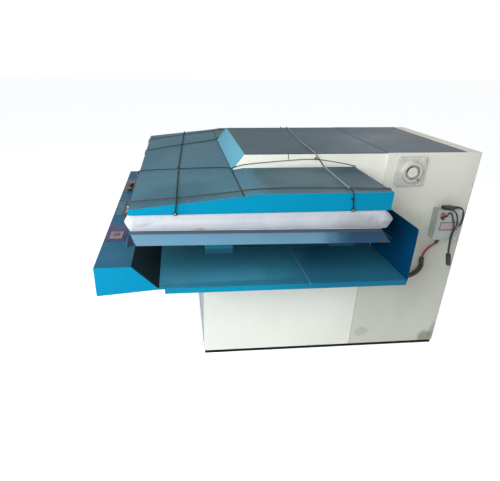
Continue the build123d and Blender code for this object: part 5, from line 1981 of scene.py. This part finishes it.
@dataclass
class SkirtCornerShades:
    """Dark sheets of painted shade that close the open corners between the bed's front skirt and
    side skirts.
    """

    top: Point = (0.8085, -0.7395, 0.8935)
    side_low: Point = (0.8520, -0.7220, 0.8600)
    front_low: Point = (0.8020, -0.7560, 0.8310)
    sheet: float = 0.0012

    def build(self) -> None:
        """Makes both shade sheets as one piece on the stand."""
        shapes = []
        for side in (1.0, -1.0):
            corners = [
                Vector((side * x, y, z)) for x, y, z in (self.top, self.side_low, self.front_low)
            ]
            back = [c + Vector((-side * self.sheet, self.sheet, 0.0)) for c in corners]
            faces = [(0, 1, 2), (5, 4, 3), (0, 1, 4, 3), (1, 2, 5, 4), (2, 0, 3, 5)]
            shapes.append((corners + back, faces))
        trim_piece("skirt_corner_shades", shapes, CORNER_SHADE_BLACK)


@dataclass
class BearingTrim:
    """Seals between the shaft and the bearings, and their grease fittings."""

    pivot: tuple[float, float] = (0.550, 1.016)
    wall: float = 0.4035
    boss: float = 0.033
    lip: tuple[tuple[float, float], ...] = (
        (0.0252, -0.002), (0.0252, 0.0022), (0.0272, 0.0032), (0.0318, 0.0024), (0.0318, -0.002),
    )
    ridges: tuple[tuple[float, float], ...] = ((0.0362, 0.0014), (0.0462, 0.0018))
    nipple: tuple[tuple[float, float], ...] = (
        (0.0001, 0.0), (0.0050, 0.0), (0.0050, 0.006), (0.0032, 0.007), (0.0028, 0.012),
        (0.0036, 0.014), (0.0022, 0.017), (0.0001, 0.017),
    )
    nipple_offset: tuple[float, float, float] = (-0.006, 0.030, -0.034)

    def build(self) -> None:
        """Makes a seal, two raised rings and a fitting on each side."""
        seals, rings, fittings = [], [], []
        face = self.wall + self.boss
        for side in (1.0, -1.0):
            middle = (side * face, *self.pivot)
            seals.append(ring_shape(middle, side, self.lip))
            for radius, width in self.ridges:
                ridge = ((radius - width, -0.001), (radius, 0.0010), (radius + width, -0.001))
                rings.append(ring_shape(middle, side, ridge, 56))
            back, behind, below = self.nipple_offset
            place = (side * (face + back), self.pivot[0] + behind, self.pivot[1] + below)
            fittings.append(ring_shape(place, side, self.nipple, 16))
        trim_piece("bearing_seals", seals, SEAL, smooth=True)
        trim_piece("bearing_rings", rings, CASTING, smooth=True)
        trim_piece("grease_fittings", fittings, FITTING, smooth=True)


@dataclass
class BoxTrim:
    """The bare framed plate on the electrical box's lid, and the cable exits' strain reliefs."""

    lid: float = 0.4655
    low: tuple[float, float] = (0.7305, 0.731)
    high: tuple[float, float] = (0.8280, 0.775)
    border: float = 0.005

    def frame_bars(self) -> list[tuple[Point, Point]]:
        """The four bars of the plate's frame, as lowest and highest corners."""
        (y0, z0), (y1, z1), b, x = self.low, self.high, self.border, self.lid
        face = x + 0.0022
        return [
            ((x, y0, z0), (face, y1, z0 + b)),
            ((x, y0, z1 - b), (face, y1, z1)),
            ((x, y0, z0 + b), (face, y0 + b, z1 - b)),
            ((x, y1 - b, z0 + b), (face, y1, z1 - b)),
        ]

    def relief(self, name: str, line: Line, length: float, flip: bool = False) -> None:
        """A ribbed boot that tapers along the first or last part of a cable.

        Args:
            name: The boot's name.
            line: The cable that it is on.
            length: How far it reaches along the cable.
            flip: Whether it is at the far end.
        """
        path = line.path()
        if flip:
            path.reverse()
        run, kept = 0.0, [path[0]]
        for before, after in zip(path, path[1:]):
            run += (after - before).length
            kept.append(after)
            if run > length:
                break

        def radius(at: float) -> float:
            """The boot's radius at a distance from its housing."""
            share = min(at / length, 1.0)
            wave = 0.08 * math.cos(2 * math.pi * at / 0.0045)
            return line.radius * (1.75 - 0.6 * share + wave * (1 - share))

        mesh = tube_mesh(name, kept, radius, 20)
        new_piece(name, mesh, GLAND_BLACK, Body.STAND)

    def build(self) -> None:
        """Makes the plate, its frame and the boots."""
        bars = [rounded_box(a, b, 0.0006) for a, b in self.frame_bars()]
        trim_piece("plate_frame", bars, PLATE_DARK)
        (y0, z0), (y1, z1), b = self.low, self.high, self.border
        low, high = (self.lid, y0 + b, z0 + b), (self.lid + 0.0012, y1 - b, z1 - b)
        trim_piece("plate_field", [rounded_box(low, high, 0.0004)], PLATE_PALE)
        lines = {line.name: line for line in CABLES}
        for name, line, length, flip in (
            ("red_lead_boot", "red_lead", 0.024, False),
            ("supply_lead_boot", "supply_lead", 0.026, False),
            ("supply_end_boot", "supply_lead", 0.022, True),
            ("pendant_outer_boot", "pendant_outer_lead", 0.020, False),
            ("pendant_inner_boot", "pendant_inner_lead", 0.012, False),
        ):
            self.relief(name, lines[line], length, flip)


@dataclass(frozen=True)
class SoftLamp:
    """A soft box: its place, what it looks at, its size and its power."""

    name: str
    place: Point
    target: Point
    size: float
    watts: float

    def build(self) -> None:
        """Hangs the lamp."""
        data = bpy.data.lights.new(self.name, "AREA")
        data.shape = "SQUARE"
        data.size = self.size
        data.energy = self.watts
        lamp = bpy.data.objects.new(self.name, data)
        bpy.context.scene.collection.objects.link(lamp)
        place = Vector(self.place)
        turn = (Vector(self.target) - place).to_track_quat("-Z", "Y")
        lamp.matrix_world = Matrix.Translation(place) @ turn.to_matrix().to_4x4()


@dataclass
class Studio:
    """The pale floor, the lamps and the world round the press."""

    lamps: tuple[SoftLamp, ...] = (
        SoftLamp("key softbox", (2.6, -1.7, 2.1), (0.4, 0.1, 0.7), 1.5, 69.0),
        SoftLamp("low softbox", (1.6, -2.7, 1.0), (0.5, 0.0, 0.66), 1.0, 34.0),
        SoftLamp("top softbox", (0.6, -1.4, 3.2), (0.2, -0.2, 1.0), 2.2, 12.0),
        SoftLamp("rear softbox", (-2.4, 2.2, 2.4), (0.0, 0.2, 0.7), 1.8, 16.0),
    )
    world_strength: float = 0.42
    floor_reach: float = 30.0
    ground: Ground = Ground("studio floor", (0.88, 0.88, 0.88), 0.9)

    def world(self) -> None:
        """Gives the scene a plain world, which is white where it is seen or reflected."""
        made = bpy.data.worlds.new("studio")
        made.use_nodes = True
        graph = Graph(made.node_tree)
        path = graph.add("ShaderNodeLightPath").outputs
        seen = graph.math("MAXIMUM", path["Is Camera Ray"], path["Is Glossy Ray"])
        seen = graph.math("MAXIMUM", seen, path["Is Transmission Ray"])
        sky = {"Color": (0.94, 0.97, 1.0, 1.0), "Strength": self.world_strength}
        fill = graph.add("ShaderNodeBackground", sky)
        white = graph.add("ShaderNodeBackground", {"Color": (1.0, 1.0, 1.0, 1.0), "Strength": 1.0})
        both = graph.add("ShaderNodeMixShader", {0: seen, 1: fill.outputs[0], 2: white.outputs[0]})
        graph.add("ShaderNodeOutputWorld", {"Surface": both.outputs[0]})
        bpy.context.scene.world = made

    def floor(self) -> None:
        """Lays the floor under the skids."""
        reach = self.floor_reach
        ways = ((-1, -1), (1, -1), (1, 1), (-1, 1))
        corners = [(reach * x, reach * y, 0.0) for x, y in ways]
        mesh = bpy.data.meshes.new("studio_floor")
        mesh.from_pydata(corners, [], [(0, 1, 2, 3)])
        mesh.materials.append(self.ground.material())
        floor = bpy.data.objects.new("studio_floor", mesh)
        bpy.context.scene.collection.objects.link(floor)

    def build(self) -> None:
        """Lights the scene."""
        self.world()
        self.floor()
        for lamp in self.lamps:
            lamp.build()
        bpy.context.scene.view_settings.view_transform = "Standard"


def dress_nodes() -> None:
    """Gives every CAD node that stays in view its finish."""
    for name, finish in NODE_FINISH.items():
        node = NODES[name]
        if not node.material_slots:
            node.data.materials.append(None)
        for slot in node.material_slots:
            slot.material = finish.material()
        log.info("dressed %s in %s", name, finish.name)


def main() -> None:
    """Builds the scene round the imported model."""
    logging.basicConfig(level=logging.INFO, format="%(name)s: %(message)s")
    PhotoCamera().build()
    for line in CABLES:
        line.build()
    TieCords().build()
    PressPadding().build()
    dress_nodes()
    ArmGussets().build()
    SkirtCornerShades().build()
    BearingTrim().build()
    BoxTrim().build()
    Fasteners().build()
    Studio().build()


if __name__ == "__main__":
    main()
